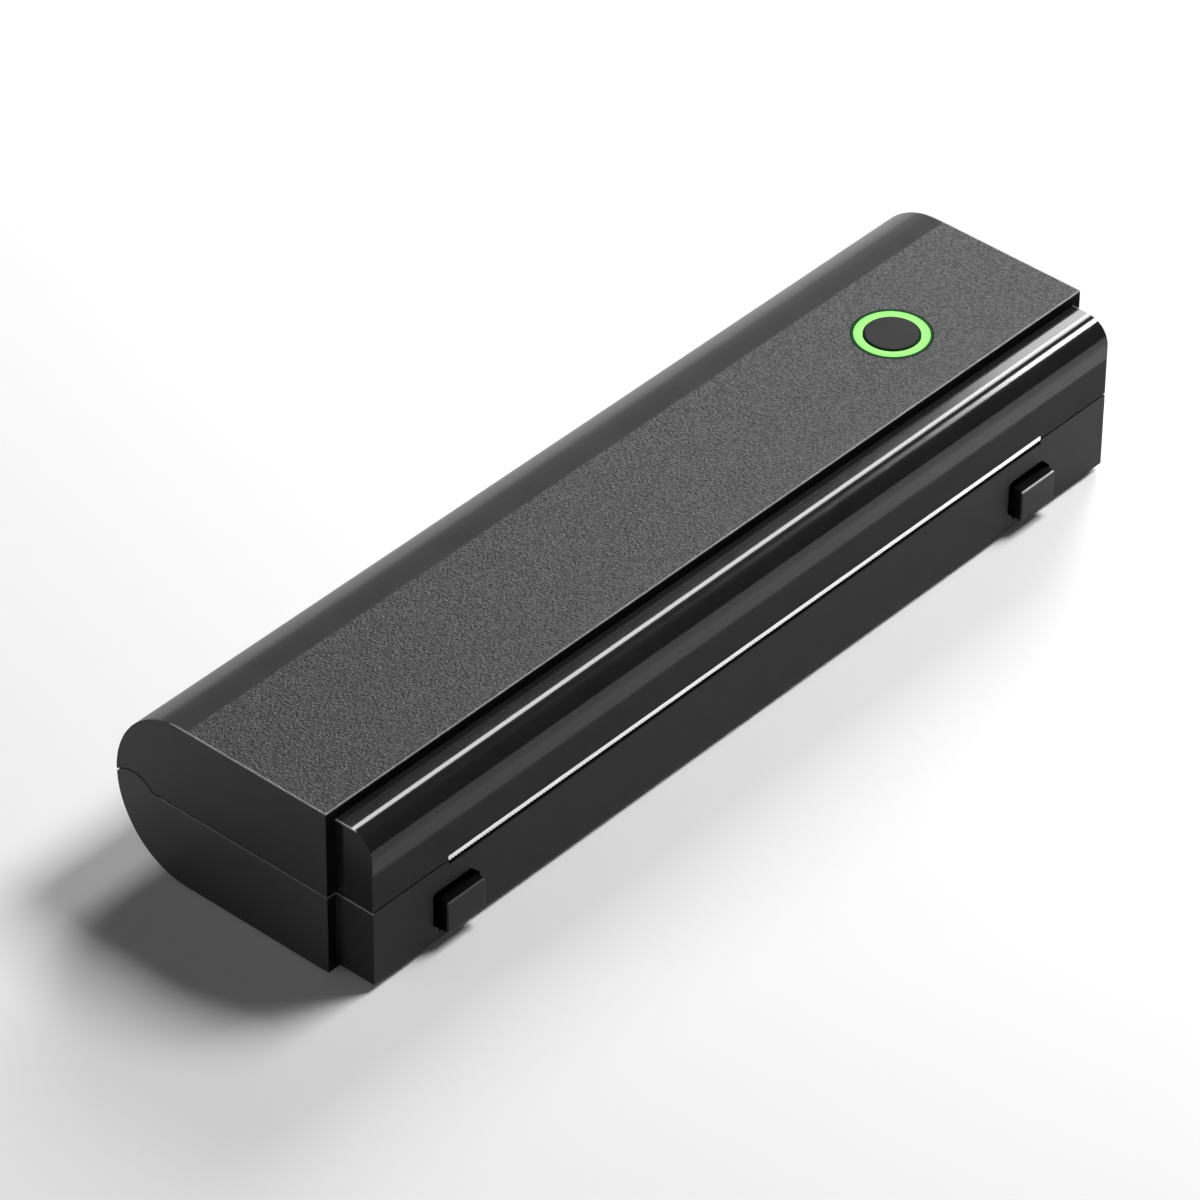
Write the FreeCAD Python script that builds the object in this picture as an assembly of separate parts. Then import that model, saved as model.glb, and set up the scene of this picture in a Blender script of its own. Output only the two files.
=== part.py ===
"""Portable thermal printer: a clamshell housing whose lid hinges open along the back.

Millimetres. X runs along the machine with its left end at -X, the paper leaves towards -Y, Z is up.
The origin is the middle of the bounding box's underside.
"""
import FreeCAD, Part
import math
import os

from FreeCAD import Vector

overrun = 5.0            # how far every cutting shape passes the face that it cuts

# Housing
body_length = 270.0
body_depth = 66.5
body_height = 46.9
round_share = 0.433      # radius above and below the back, of the body's height
bulge_share = 0.54       # radius of the back itself, of the body's height
wall = 2.2
seam_height = 23.2       # parting plane above the table
seam_gap = 0.4

# Nose along the front
nose_depth = 11.5
nose_inset = 2.8         # each end of the nose in from the body's end
nose_drop = 2.9          # top of the nose below the body's top
nose_lift = 1.2          # underside of the nose above the body's underside
nose_round = 6.8
nose_wall = 2.0
nose_gap = 0.1           # joint between the upper nose cover and the body

# Rubber feet
foot_radius = 5.0
foot_proud = 0.6
foot_end_gap = 20.0      # foot centre in from the body's end
foot_front_gap = 8.0     # front feet behind the body's front wall
foot_back_gap = 27.5     # back feet in from the machine's back

# Hinge
hinge_inset = 5.45       # hinge axis in from the back
hinge_drop = 4.4         # hinge axis below the parting plane
knuckle_radius = 7.2     # round top of the base's end wall about the hinge axis
barrel_radius = 4.6
arm_width = 6.8
ear_width = 5.6
ear_root = 6.0           # height of the block that joins an ear to the lid
hinge_rib = 4.6          # thickness of the base's inner hinge rib
hinge_gap = 0.4
pin_radius = 1.5
pin_play = 0.05

# Paper path
end_room = 30.0          # each end of the body past the paper, which leaves 210 mm, the width of A4
paper_play = 2.0
slot_gap = 1.3           # free height of the paper exit below the parting plane
paper_lift = 0.35        # paper plane above the guide
inlet_lift = 2.0         # how far the lid's back lip is raised over the paper inlet
guide_thick = 1.4
guide_gap = 0.3
paper_rib = 0.3          # height of the ribs that carry the paper
paper_rib_width = 1.6
paper_rib_count = 12     # over the paper's width
guide_post = 1.6         # thickness of the webs that carry the front guide
guide_post_count = 3

# Tear bar
tear_height = 1.1
tear_thick = 1.2
tear_setback = 0.4       # behind the nose's front face
tear_pitch = 2.4
tear_tooth = 0.6

# Platen
platen_radius = 6.0
platen_inset = 10.75     # axis behind the body's front wall
shaft_radius = 2.5
shaft_play = 0.03
nip_gap = 0.3
shaft_clip_radius = 4.2
shaft_clip_thick = 0.6
shaft_end = 1.2          # shaft past its right-hand clip

# Platen brackets and bushes
bracket_gap = 1.4        # roller end to bracket
bracket_thick = 2.0
bracket_width = 13.0
bracket_rise = 9.6       # flange above the platen axis
bracket_drop = 4.3       # lower edge below the platen axis
bracket_flange = 7.0
bush_radius = 3.9
bush_proud = 0.4

# Gear train at the left end
gear_module = 0.8
pressure_deg = 20.0
dedendum_share = 1.25
backlash = 0.08
platen_teeth = 18
small_teeth = 12
wheel_teeth = 30
pinion_teeth = 12
reduction_deg = -64.0    # reduction gear as seen from the platen axis
motor_deg = -23.0        # motor as seen from the reduction gear
gear_width = 4.0
wheel_width = 3.0
gear_gap = 0.6
axle_radius = 1.5
axle_play = 0.05
axle_root_radius = 2.1   # few-sided root in the side frame, so that it can't turn
axle_clip_radius = 3.0
axle_clip = 0.6
axle_clip_gap = 0.2

# Side frames
frame_gap = 1.6          # bracket to frame
frame_thick = 1.2
frame_rise = 3.0         # flange above the inner floor
frame_front_gap = 4.0    # behind the body's front wall
frame_top_gap = 0.7      # below the paper guide
left_frame_margin = 3.5  # behind the motor's ear
frame_room = 0.5         # least gap from a frame to the housing's walls
right_frame_depth = 24.5
tab_length = 8.0         # screw tabs of the frames
tab_width = 8.0

# Motor
motor_radius = 7.5
motor_length = 18.0
motor_flange = 1.0
motor_ear = 3.5          # half width of the flange's ears
motor_ear_reach = 13.0   # end of each ear from the shaft
motor_shaft_radius = 1.0
motor_shaft_play = 0.05
motor_hole = 2.0         # hole in the side frame round the shaft
motor_shaft_sink = 3.0   # shaft inside the motor
motor_shaft_proud = 0.6  # shaft past the pinion

# Print head
head_front = 6.2         # plate ahead of the print line
head_back = 13.3         # plate behind the print line
head_thick = 3.4
head_side_gap = 0.5
heater_depth = 10.0
heater_thick = 1.3
heater_inset = 3.0       # heater's end in from the plate's end
driver_gap = 0.3
driver_depth = 5.0
driver_thick = 1.0
pivot_back = 11.5        # pivot behind the print line
head_pin_radius = 1.2
head_pin_play = 0.05
head_pin_proud = 0.4
head_plug_width = 26.0
head_plug_depth = 4.0
head_plug_height = 2.6
head_plug_shift = 27.0   # centre from the board's left end

# Head springs
spring_strip = 0.5
spring_width = 24.0
spring_shift_share = 0.26    # each spring from the middle, of the paper's width
spring_foot = 6.0
spring_foot_gap = 0.6    # foot behind the body's front wall's inner face
spring_rise = 7.6
spring_run = 7.5
spring_tip = 2.0

# Lid release buttons
tab_proud = 2.5          # face ahead of the nose
button_width = 12.65
button_height = 8.85
button_lift = 2.6        # lower edge above the nose's underside
button_inset = 31.2      # centre in from the body's end
button_play = 0.3
pocket_left = 2.2        # pocket wider than the button, at its left
pocket_right = 0.8       # and at its right
pocket_top = 2.8         # and above it
pocket_foot = 1.7        # and below it
pocket_cut_top = 2.8     # its upper right corner cut off
pocket_cut_foot = 4.2    # and its lower left one
pocket_chamfer = 0.8     # and its upper left one
pocket_depth = 2.0
pocket_back = 2.0        # thickness left behind the pocket
latch_flange = 1.6
latch_flange_margin = 1.6
latch_arm_height = 4.0
latch_arm_gap = 0.3
hook_shift = 11.2        # hook from the button's middle, outwards
hook_width = 4.0
hook_post = 1.8
hook_reach = 1.4
hook_height = 1.8
hook_bite = 0.7          # hook over the lug's lip
hook_gap = 0.4
lug_thick = 1.6
lug_lip = 1.3
lug_lip_height = 1.6
lug_side_gap = 0.4
lug_arm_gap = 2.0        # lug's end above the latch's arm
latch_rail_width = 6.0
latch_travel = 2.0
latch_room = 4.9         # latch flange to the rib that its spring rests on
latch_spring_strip = 0.6
latch_spring_width = 5.0
latch_spring_half = 6.0  # middle to each foot
latch_spring_crest = 1.5 # middle to each bend
latch_rib = 1.6

# Power button and light ring
power_inset = 45.0       # centre in from the right-hand end
power_back = 22.7        # centre behind the body's front wall
ring_radius = 10.0
ring_width = 2.85
ring_drop = 0.8          # ring below the roof's underside
power_play = 0.15
power_crown = 0.3        # rise of the button's middle
power_flat_share = 0.92  # of the button's radius, where its slope ends in a flat
power_flange = 1.2
power_flange_margin = 0.8
power_flange_gap = 0.3
power_stem_radius = 1.6
power_stem = 0.7
power_gap = 1.0          # stem to switch, a little over the travel

# Switch board in the lid
switch_board_length = 35.0
switch_board_width = 14.0
switch_board_thick = 1.2
switch_post_inset = 3.0
switch_side = 6.0
switch_height = 0.8
switch_plunger_radius = 1.7
switch_plunger = 0.6

# Lid liner
liner_gap = 1.0          # above the parting plane
liner_thick = 1.4
liner_rib = 0.5
liner_front_gap = 1.2    # behind the platen
liner_depth = 35.0

# Rear paper deck
deck_front_gap = 1.0     # behind the print head
deck_back_gap = 4.0      # in from the machine's back
deck_side_gap = 0.6
deck_right_reach = 8.4   # deck past the right-hand frame, behind it
deck_notch_gap = 1.0
sensor_length = 6.0
sensor_width = 4.0
sensor_flange = 1.0
sensor_thick = 1.2
sensor_play = 0.1
sensor_shift_share = 0.29    # left of the middle, of the paper's width
sensor_back = 5.0        # behind the deck's front edge

# Battery, board and socket
battery_length_share = 0.457     # of the paper's width
battery_width_share = 0.361      # of the body's depth
battery_height = 11.8
battery_round = 4.0
battery_left_gap = 24.0  # from the left frame
battery_back = 19.5      # behind the body's front wall
cradle_thick = 1.4
cradle_height = 6.0
cradle_gap = 0.2
cradle_width = 12.0
board_left_gap = 10.0    # behind the battery's right-hand end
board_end_gap = 1.3      # board's end to the end wall's inner face
board_front_gap = 6.95   # behind the print head
board_back_gap = 12.0    # in from the machine's back
board_thick = 1.6
board_rise = 3.8         # board above the inner floor
board_post_inset = 4.0
board_post_right = 12.0  # right-hand post in from the board's end, clear of the socket
socket_width = 8.94
socket_height = 3.26
socket_depth = 7.3
socket_shell = 0.35
socket_inset = 0.6       # mouth behind the end wall's outer face
socket_play = 0.3
socket_tongue = 0.7
socket_tongue_width = 6.7
socket_back_share = 0.43 # centre behind the board's front edge, of the board's width
board_pairs = 2          # chips, and capacitors
chip_side = 10.0
chip_thick = 1.2
chip_pitch = 17.0
chip_gap = 4.0           # from the ribbon's plug to the first chip
can_radius = 3.0
can_height = 7.5
can_inset = 22.0         # first capacitor in from the board's right end
can_pitch = 7.5
ribbon_thick = 0.3
ribbon_inset = 2.0       # ribbon narrower than the plug at each side
ribbon_gap = 0.25
ribbon_plug_depth = 3.0
ribbon_plug_height = 2.4

# Screws and their bosses
small_sides = 6          # of screws, bosses, clips and other small round pieces
round_sides = 16         # of the feet and the capacitors
screw_radius = 1.2
screw_play = 0.05
screw_length = 6.0
short_screw = 4.0        # screws into the base's low bosses
screw_head_radius = 2.2
screw_head = 1.2
screw_room = 0.3         # hole round a shank in the piece that it clamps
boss_radius = 2.6
boss_slack = 1.0         # pilot hole deeper than the screw
deck_screw_steps = (-5, 1, 6)    # in paper rib pitches from the middle, so between two ribs
deck_screw_inset = 4.25  # in from the deck's back edge
liner_screw_steps = (-6, 0, 6)
liner_screw_back = 24.0  # behind the liner's front edge
cover_screw_x_shares = (-0.44, 0.0, 0.44)   # of the body's length
cover_screw_drop = 9.6   # below the nose's top
bracket_screw_inset = 3.4
bracket_screw_reach = 3.4   # from the bracket's outer face

# Places that follow from the sizes
half_length = body_length / 2
back_y = (body_depth + nose_depth + tab_proud) / 2
wall_y = back_y - body_depth
nose_y = wall_y - nose_depth
inner_wall_y = wall_y + wall
floor_z = foot_proud
inner_floor_z = floor_z + wall
top_z = floor_z + body_height
roof_z = top_z - wall
middle_z = floor_z + body_height / 2
nose_top_z = top_z - nose_drop
nose_floor_z = floor_z + nose_lift
nose_half = half_length - nose_inset
base_rim_z = seam_height - seam_gap / 2
lid_rim_z = seam_height + seam_gap / 2
hinge_y = back_y - hinge_inset
hinge_z = seam_height - hinge_drop
inner_end = half_length - wall
ear_outer = inner_end - hinge_gap
ear_inner = ear_outer - ear_width
rib_outer = ear_inner - hinge_gap
rib_inner = rib_outer - hinge_rib

paper_width = body_length - 2 * end_room
paper_rib_pitch = paper_width / paper_rib_count
slot_half = paper_width / 2 + paper_play
guide_z = base_rim_z - slot_gap
nip_z = guide_z + paper_lift
platen_y = wall_y + platen_inset
platen_z = nip_z + nip_gap / 2 + platen_radius
bracket_x = slot_half + bracket_gap
bracket_outer = bracket_x + bracket_thick
frame_x = bracket_outer + frame_gap
frame_outer = frame_x + frame_thick
gear_near = frame_outer + gear_gap
gear_far = gear_near + gear_width
wheel_near = gear_far + gear_gap
wheel_far = wheel_near + wheel_width
tear_half = slot_half

head_half = frame_x - head_side_gap
head_top_z = nip_z - nip_gap / 2
heater_z = head_top_z - heater_thick
head_z = heater_z - head_thick
head_front_y = platen_y - head_front
head_back_y = platen_y + head_back
pivot_y = platen_y + pivot_back
pivot_z = head_z + head_thick / 2
guide_under_z = guide_z - guide_thick
guide_back_y = head_front_y - guide_gap
frame_z = inner_floor_z + frame_rise
frame_top_z = guide_z - frame_top_gap
frame_front_y = wall_y + frame_front_gap
deck_front_y = head_back_y + deck_front_gap
deck_back_y = back_y - deck_back_gap
deck_half = frame_x - deck_side_gap
liner_z = lid_rim_z + liner_gap
liner_top_z = liner_z + liner_thick
liner_front_y = platen_y + platen_radius + liner_front_gap
liner_back_y = liner_front_y + liner_depth
flange_z = platen_z + bracket_rise
flange_top_z = flange_z + bracket_thick

button_x = half_length - button_inset
button_low_z = nose_floor_z + button_lift
button_mid_z = button_low_z + button_height / 2
button_y = nose_y - tab_proud
pocket_floor_y = nose_y + pocket_depth
pocket_back_y = pocket_floor_y + pocket_back
latch_y = pocket_back_y + button_play
latch_back_y = latch_y + latch_flange
latch_rib_y = latch_back_y + latch_room
latch_arm_z = button_mid_z - latch_arm_height / 2
latch_arm_top_z = latch_arm_z + latch_arm_height
hook_x = button_x + hook_shift
lug_z = latch_arm_top_z + lug_arm_gap
lip_top_z = lug_z + lug_lip_height
hook_z = lip_top_z + hook_gap
hook_post_y = latch_back_y + hook_reach + latch_travel + hook_gap
hook_tip_y = hook_post_y - hook_reach
lip_y = hook_tip_y + hook_bite
lug_back_y = lip_y - lug_lip

power_x = half_length - power_inset
power_y = wall_y + power_back
power_radius = ring_radius - ring_width
ring_under_z = roof_z - ring_drop
power_flange_z = ring_under_z - power_flange_gap
power_stem_z = power_flange_z - power_flange - power_stem
switch_top_z = power_stem_z - power_gap
switch_board_top_z = switch_top_z - switch_plunger - switch_height
switch_board_z = switch_board_top_z - switch_board_thick

battery_length = battery_length_share * paper_width
battery_width = battery_width_share * body_depth
battery_left = battery_left_gap - frame_x
battery_y = wall_y + battery_back
board_z = inner_floor_z + board_rise
board_top_z = board_z + board_thick
board_y = head_back_y + board_front_gap
board_width = back_y - board_back_gap - board_y
board_left = battery_left + battery_length + board_left_gap
board_right = inner_end - board_end_gap
socket_y = board_y + socket_back_share * board_width
socket_z = board_top_z + socket_height / 2
head_plug_x = board_left + head_plug_shift
head_plug_y = pivot_y - head_plug_depth / 2
spring_shift = spring_shift_share * paper_width


def direction(angle):
    """The unit vector at an angle in the YZ plane, from +Y towards +Z."""
    return Vector(0, math.cos(angle), math.sin(angle))


def block(x0, x1, y0, y1, z0, z1):
    return Part.makeBox(x1 - x0, y1 - y0, z1 - z0, Vector(x0, y0, z0))


def rod_x(radius, x0, x1, y, z):
    return Part.makeCylinder(radius, x1 - x0, Vector(x0, y, z), Vector(1, 0, 0))


def rod_z(radius, z0, z1, x, y):
    return Part.makeCylinder(radius, z1 - z0, Vector(x, y, z0), Vector(0, 0, 1))


def fused(first, *others):
    return first.fuse(list(others)).removeSplitter()


def span(side, near, far):
    """The x range from near to far on the left, side -1, or the right, side 1."""
    return sorted((side * near, side * far))


def prism(edges, reach):
    """The solid that a closed loop of edges sweeps along the vector reach."""
    loop = Part.Wire([edge.toShape() for edge in edges])
    return Part.Face(loop).extrude(reach)


def polygon(points, reach):
    return Part.Face(Part.makePolygon(points + points[:1])).extrude(reach)


def post(radius, start, toward, length, sides=small_sides):
    """A small round post or hole as a prism with few sides, from the start point along toward."""
    side = Vector(toward.y, toward.z, toward.x)
    other = toward.cross(side)
    angles = [2 * math.pi * (index + 1 / 2) / sides for index in range(sides)]
    corners = [start + (side * math.cos(angle) + other * math.sin(angle)) * radius for angle in angles]
    return polygon(corners, toward * length)


def post_z(radius, z0, z1, x, y, sides=small_sides):
    return post(radius, Vector(x, y, z0), Vector(0, 0, 1), z1 - z0, sides)


def screw(seat, toward, length):
    """A pan head on the seat point, and a plain shank that points away from it."""
    head = post(screw_head_radius, seat - toward * screw_head, toward, screw_head)
    return fused(head, post(screw_radius, seat, toward, length))


def pilot(seat, toward, depth):
    """The hole that a shank screws into, from the seat point inwards."""
    return post(screw_radius + screw_play, seat, toward, depth)


def screw_hole(seat, toward, depth):
    """The free hole for a shank through a piece that the screw clamps."""
    return post(screw_radius + screw_room, seat - toward * overrun, toward, depth + overrun + overrun)


def body_prism(inset, half):
    """The main body drawn in by inset: flat top, front and underside, and a round back."""
    round_radius = round_share * body_height
    bulge_radius = bulge_share * body_height
    turn = math.asin((1 / 2 - round_share) / (bulge_share - round_share))
    bulge = Vector(-half, back_y - bulge_radius, middle_z)
    upper = bulge + direction(turn) * (bulge_radius - round_radius)
    lower = bulge + direction(-turn) * (bulge_radius - round_radius)
    corner = round_radius - inset
    back = bulge_radius - inset
    up = math.pi / 2
    top_front = Vector(-half, wall_y + inset, top_z - inset)
    low_front = Vector(-half, wall_y + inset, floor_z + inset)
    top_back = upper + direction(up) * corner
    high = upper + direction(turn) * corner
    low = lower + direction(-turn) * corner
    low_back = lower + direction(-up) * corner
    edges = [
        Part.LineSegment(low_front, top_front),
        Part.LineSegment(top_front, top_back),
        Part.Arc(top_back, upper + direction((up + turn) / 2) * corner, high),
        Part.Arc(high, bulge + direction(0) * back, low),
        Part.Arc(low, lower + direction(-(up + turn) / 2) * corner, low_back),
        Part.LineSegment(low_back, low_front),
    ]
    return prism(edges, Vector(2 * half, 0, 0))


def nose_prism(inset, half, y_end, z_start):
    """The upper nose drawn in by inset, with its rounded front edge, open backwards to y_end."""
    front = nose_y + inset
    top = nose_top_z - inset
    radius = nose_round - inset
    centre = Vector(-half, front + radius, top - radius)
    start = Vector(-half, front, z_start)
    edge_low = Vector(-half, front, centre.z)
    edge_high = Vector(-half, centre.y, top)
    back_high = Vector(-half, y_end, top)
    back_low = Vector(-half, y_end, z_start)
    edges = [
        Part.LineSegment(start, edge_low),
        Part.Arc(edge_low, centre + direction(math.pi * 3 / 4) * radius, edge_high),
        Part.LineSegment(edge_high, back_high),
        Part.LineSegment(back_high, back_low),
        Part.LineSegment(back_low, start),
    ]
    return prism(edges, Vector(2 * half, 0, 0))


def hinge_rod(radius, x0, x1):
    return rod_x(radius, x0, x1, hinge_y, hinge_z)


def pocket(side, y0, y1):
    """The release button's pocket, with three corners cut off. Both pockets are the same way round."""
    left = -button_width / 2 - pocket_left
    right = button_width / 2 + pocket_right
    low = button_low_z - pocket_foot
    high = button_low_z + button_height + pocket_top
    outline = [(right, low), (right, high - pocket_cut_top), (right - pocket_cut_top, high)]
    outline += [(left + pocket_chamfer, high), (left, high - pocket_chamfer)]
    outline += [(left, low + pocket_cut_foot), (left + pocket_cut_foot, low)]
    return polygon([Vector(side * button_x + x, y0, z) for x, z in outline], Vector(0, y1 - y0, 0))


def socket_solid(grow, x0, x1):
    """The charging socket's outline, a flat oval, grown by grow."""
    radius = socket_height / 2 + grow
    reach = socket_width / 2 - socket_height / 2
    oval = [rod_x(radius, x0, x1, socket_y + reach, socket_z)]
    oval.append(block(x0, x1, socket_y - reach, socket_y + reach, socket_z - radius, socket_z + radius))
    return fused(rod_x(radius, x0, x1, socket_y - reach, socket_z), *oval)


def foot_places():
    across = half_length - foot_end_gap
    ends = (wall_y + foot_front_gap, back_y - foot_back_gap)
    return [(side * across, y) for side in (-1, 1) for y in ends]


def deck_screw_places():
    y = deck_back_y - deck_screw_inset
    return [Vector(step * paper_rib_pitch, y, guide_z) for step in deck_screw_steps]


def liner_screw_places():
    y = liner_front_y + liner_screw_back
    return [Vector(step * paper_rib_pitch, y, liner_z) for step in liner_screw_steps]


def cover_screw_places():
    z = nose_top_z - cover_screw_drop
    return [Vector(share * body_length, inner_wall_y, z) for share in cover_screw_x_shares]


def bracket_screw_places(side):
    x = side * (bracket_outer + bracket_screw_reach)
    reach = bracket_width / 2 - bracket_screw_inset
    return [Vector(x, platen_y + sy * reach, flange_z) for sy in (-1, 1)]


def left_frame_depth():
    """How far the left frame reaches back, past the motor's rear ear."""
    _, _, motor = gear_centres()
    return motor.y + motor_ear_reach + left_frame_margin - frame_front_y


def frame_tabs(side):
    """The middle of each screw tab of a frame, at its front and back ends."""
    depth = left_frame_depth() if side < 0 else right_frame_depth
    x = side * (frame_x - tab_length / 2)
    ends = (frame_front_y + tab_width / 2, frame_front_y + depth - tab_width / 2)
    return [Vector(x, y, frame_z + frame_thick) for y in ends]


def board_screw_places():
    x_ends = (board_left + board_post_inset, board_right - board_post_right)
    y_ends = (board_y + board_post_inset, board_y + board_width - board_post_inset)
    return [Vector(x, y, board_top_z) for x, y in zip(x_ends, y_ends)]


def switch_screw_places():
    reach = switch_board_length / 2 - switch_post_inset
    return [Vector(power_x + side * reach, power_y, switch_board_z) for side in (-1, 1)]


def base_shell():
    """The lower half of the housing, with the nose, the hinge knuckles and all its posts."""
    outer = body_prism(0, half_length)
    hollow = body_prism(wall, inner_end)
    keep = block(-half_length, half_length, wall_y, back_y + overrun, 0, base_rim_z)
    ends = [hinge_rod(knuckle_radius, *span(side, inner_end, half_length)) for side in (-1, 1)]
    shell = outer.cut(hollow).common(keep.fuse(ends))
    nose = block(-nose_half, nose_half, nose_y, inner_wall_y, nose_floor_z, base_rim_z)
    inner_half = nose_half - nose_wall
    nose_floor = nose_floor_z + nose_wall
    room_y = nose_y + nose_wall
    high_z = base_rim_z + overrun
    room = block(-inner_half, inner_half, room_y, inner_wall_y + overrun, nose_floor, high_z)
    shell = fused(shell, nose).cut(room)
    inside = [solid.common(outer) for solid in floor_posts() + hinge_ribs(-1) + hinge_ribs(1)]
    shell = fused(shell, *inside, *nose_posts(nose_floor))
    return shell.cut(base_cuts()).removeSplitter()


def hinge_ribs(side):
    """The inner rib that carries a hinge pin."""
    x0, x1 = span(side, rib_inner, rib_outer)
    web = block(x0, x1, hinge_y - barrel_radius, back_y, floor_z, hinge_z)
    return [hinge_rod(barrel_radius, x0, x1), web]


def floor_posts():
    """Bosses, cradles and spring seats that stand on the base's floor."""
    low_z = floor_z + wall / 2
    posts = []
    for place in deck_screw_places():
        posts.append(post_z(boss_radius, low_z, guide_under_z, place.x, place.y))
    for tab in frame_tabs(-1) + frame_tabs(1):
        posts.append(post_z(boss_radius, low_z, frame_z, tab.x, tab.y))
    for place in board_screw_places():
        posts.append(post_z(boss_radius, low_z, board_z, place.x, place.y))
    middle = battery_y + battery_width / 2
    y0, y1 = middle - cradle_width / 2, middle + cradle_width / 2
    for x in (battery_left - cradle_gap - cradle_thick, battery_left + battery_length + cradle_gap):
        posts.append(block(x, x + cradle_thick, y0, y1, low_z, inner_floor_z + cradle_height))
    foot_y = inner_wall_y + spring_foot_gap
    spring_seat_z = head_z - spring_rise - spring_strip
    for side in (-1, 1):
        x0, x1 = span(side, spring_shift - spring_width / 2, spring_shift + spring_width / 2)
        posts.append(block(x0, x1, foot_y, foot_y + spring_foot, low_z, spring_seat_z))
    return posts


def nose_posts(nose_floor):
    """Webs under the front guide, and what guides the release buttons."""
    posts = []
    low_z = nose_floor - nose_wall / 2
    front_y = nose_y + nose_wall / 2
    pitch = paper_width / guide_post_count
    for index in range(guide_post_count):
        x = (index - (guide_post_count - 1) / 2) * pitch - guide_post / 2
        posts.append(block(x, x + guide_post, front_y, inner_wall_y, low_z, guide_under_z))
    return posts + latch_posts(-1, nose_floor) + latch_posts(1, nose_floor)


def latch_posts(side, nose_floor):
    """Behind one release button: the thick wall round it, its spring's rib and the rail under its arm."""
    low_z = nose_floor - nose_wall / 2
    wide = button_width / 2 + pocket_left + nose_wall
    x0, x1 = span(side, button_x - wide, button_x + wide)
    high_z = button_low_z + button_height + pocket_top + nose_wall
    thick = block(x0, x1, nose_y + nose_wall / 2, pocket_back_y, low_z, high_z)
    x0, x1 = span(side, button_x - button_width / 2, button_x + button_width / 2)
    rib = block(x0, x1, latch_rib_y, latch_rib_y + latch_rib, low_z, button_low_z + button_height)
    reach = hook_width / 2
    x0, x1 = span(side, hook_x - reach, hook_x - reach + latch_rail_width)
    rail = block(x0, x1, latch_y, hook_post_y, low_z, latch_arm_z - latch_arm_gap)
    return [thick, rib, rail]


def base_cuts():
    """Everything that is cut from the base: slot, pockets, hinge notches, bores, seats and pilot holes."""
    down = Vector(0, 0, -1)
    slot_y = nose_y + nose_wall + guide_gap
    cuts = [
        block(-slot_half, slot_half, nose_y - overrun, slot_y, guide_z, base_rim_z + overrun),
        socket_solid(socket_play, inner_end - overrun, half_length + overrun),
    ]
    for side in (-1, 1):
        cuts.append(pocket(side, nose_y - overrun, pocket_floor_y))
        wide = button_width / 2 + button_play
        x0, x1 = span(side, button_x - wide, button_x + wide)
        low_z = button_low_z - button_play
        high_z = button_low_z + button_height + button_play
        cuts.append(block(x0, x1, nose_y, pocket_back_y + overrun, low_z, high_z))
        notch_z = hinge_z - barrel_radius - hinge_gap
        x0, x1 = span(side, rib_outer, inner_end)
        cuts.append(block(x0, x1, hinge_y, back_y + overrun, notch_z, base_rim_z + overrun))
        cuts.append(hinge_rod(pin_radius, *span(side, rib_inner, rib_outer)))
        cuts += [pilot(tab - Vector(0, 0, frame_thick), down, frame_rise) for tab in frame_tabs(side)]
    for place in deck_screw_places():
        cuts.append(pilot(place - Vector(0, 0, guide_thick), down, screw_length + boss_slack))
    for place in board_screw_places():
        cuts.append(pilot(place - Vector(0, 0, board_thick), down, board_rise))
    return Part.makeCompound(cuts)


def front_guide():
    """The plate in front of the print head, with ribs that carry the paper to the exit."""
    front_y = nose_y + nose_wall + guide_gap
    plate = block(-slot_half, slot_half, front_y, guide_back_y, guide_under_z, guide_z)
    return fused(plate, *paper_ribs(front_y, guide_back_y, guide_z, guide_z + paper_rib))


def paper_ribs(y0, y1, z0, z1):
    middles = [(index - (paper_rib_count - 1) / 2) * paper_rib_pitch for index in range(paper_rib_count)]
    reach = paper_rib_width / 2
    return [block(x - reach, x + reach, y0, y1, z0, z1) for x in middles]


def paper_deck():
    """The plate behind the print head that covers the battery and the board."""
    notch_y = frame_front_y + right_frame_depth + deck_notch_gap
    right = frame_outer + deck_right_reach
    plate = block(-deck_half, deck_half, deck_front_y, deck_back_y, guide_under_z, guide_z)
    wing = block(deck_half, right, notch_y, deck_back_y, guide_under_z, guide_z)
    deck = fused(plate, wing, *paper_ribs(deck_front_y, deck_back_y, guide_z, guide_z + paper_rib))
    window = sensor_block(sensor_play, guide_under_z - overrun, guide_z + overrun)
    holes = [screw_hole(place, Vector(0, 0, -1), guide_thick) for place in deck_screw_places()]
    return deck.cut([window] + holes)


def sensor_block(grow, z0, z1):
    x = -sensor_shift_share * paper_width
    y = deck_front_y + sensor_back
    wide = sensor_length / 2 + grow
    deep = sensor_width / 2 + grow
    return block(x - wide, x + wide, y - deep, y + deep, z0, z1)


def paper_sensor():
    """A small optical sensor in the deck's window, on a flange under the deck."""
    head = sensor_block(0, guide_under_z - sensor_thick, guide_z)
    return fused(head, sensor_block(sensor_flange, guide_under_z - sensor_thick, guide_under_z))


def gear_centres():
    """The axes of the platen, the reduction gear and the motor."""
    platen = Vector(0, platen_y, platen_z)
    first = gear_module * (platen_teeth + small_teeth) / 2
    reduction = platen + direction(math.radians(reduction_deg)) * first
    second = gear_module * (wheel_teeth + pinion_teeth) / 2
    motor = reduction + direction(math.radians(motor_deg)) * second
    return platen, reduction, motor


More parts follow.
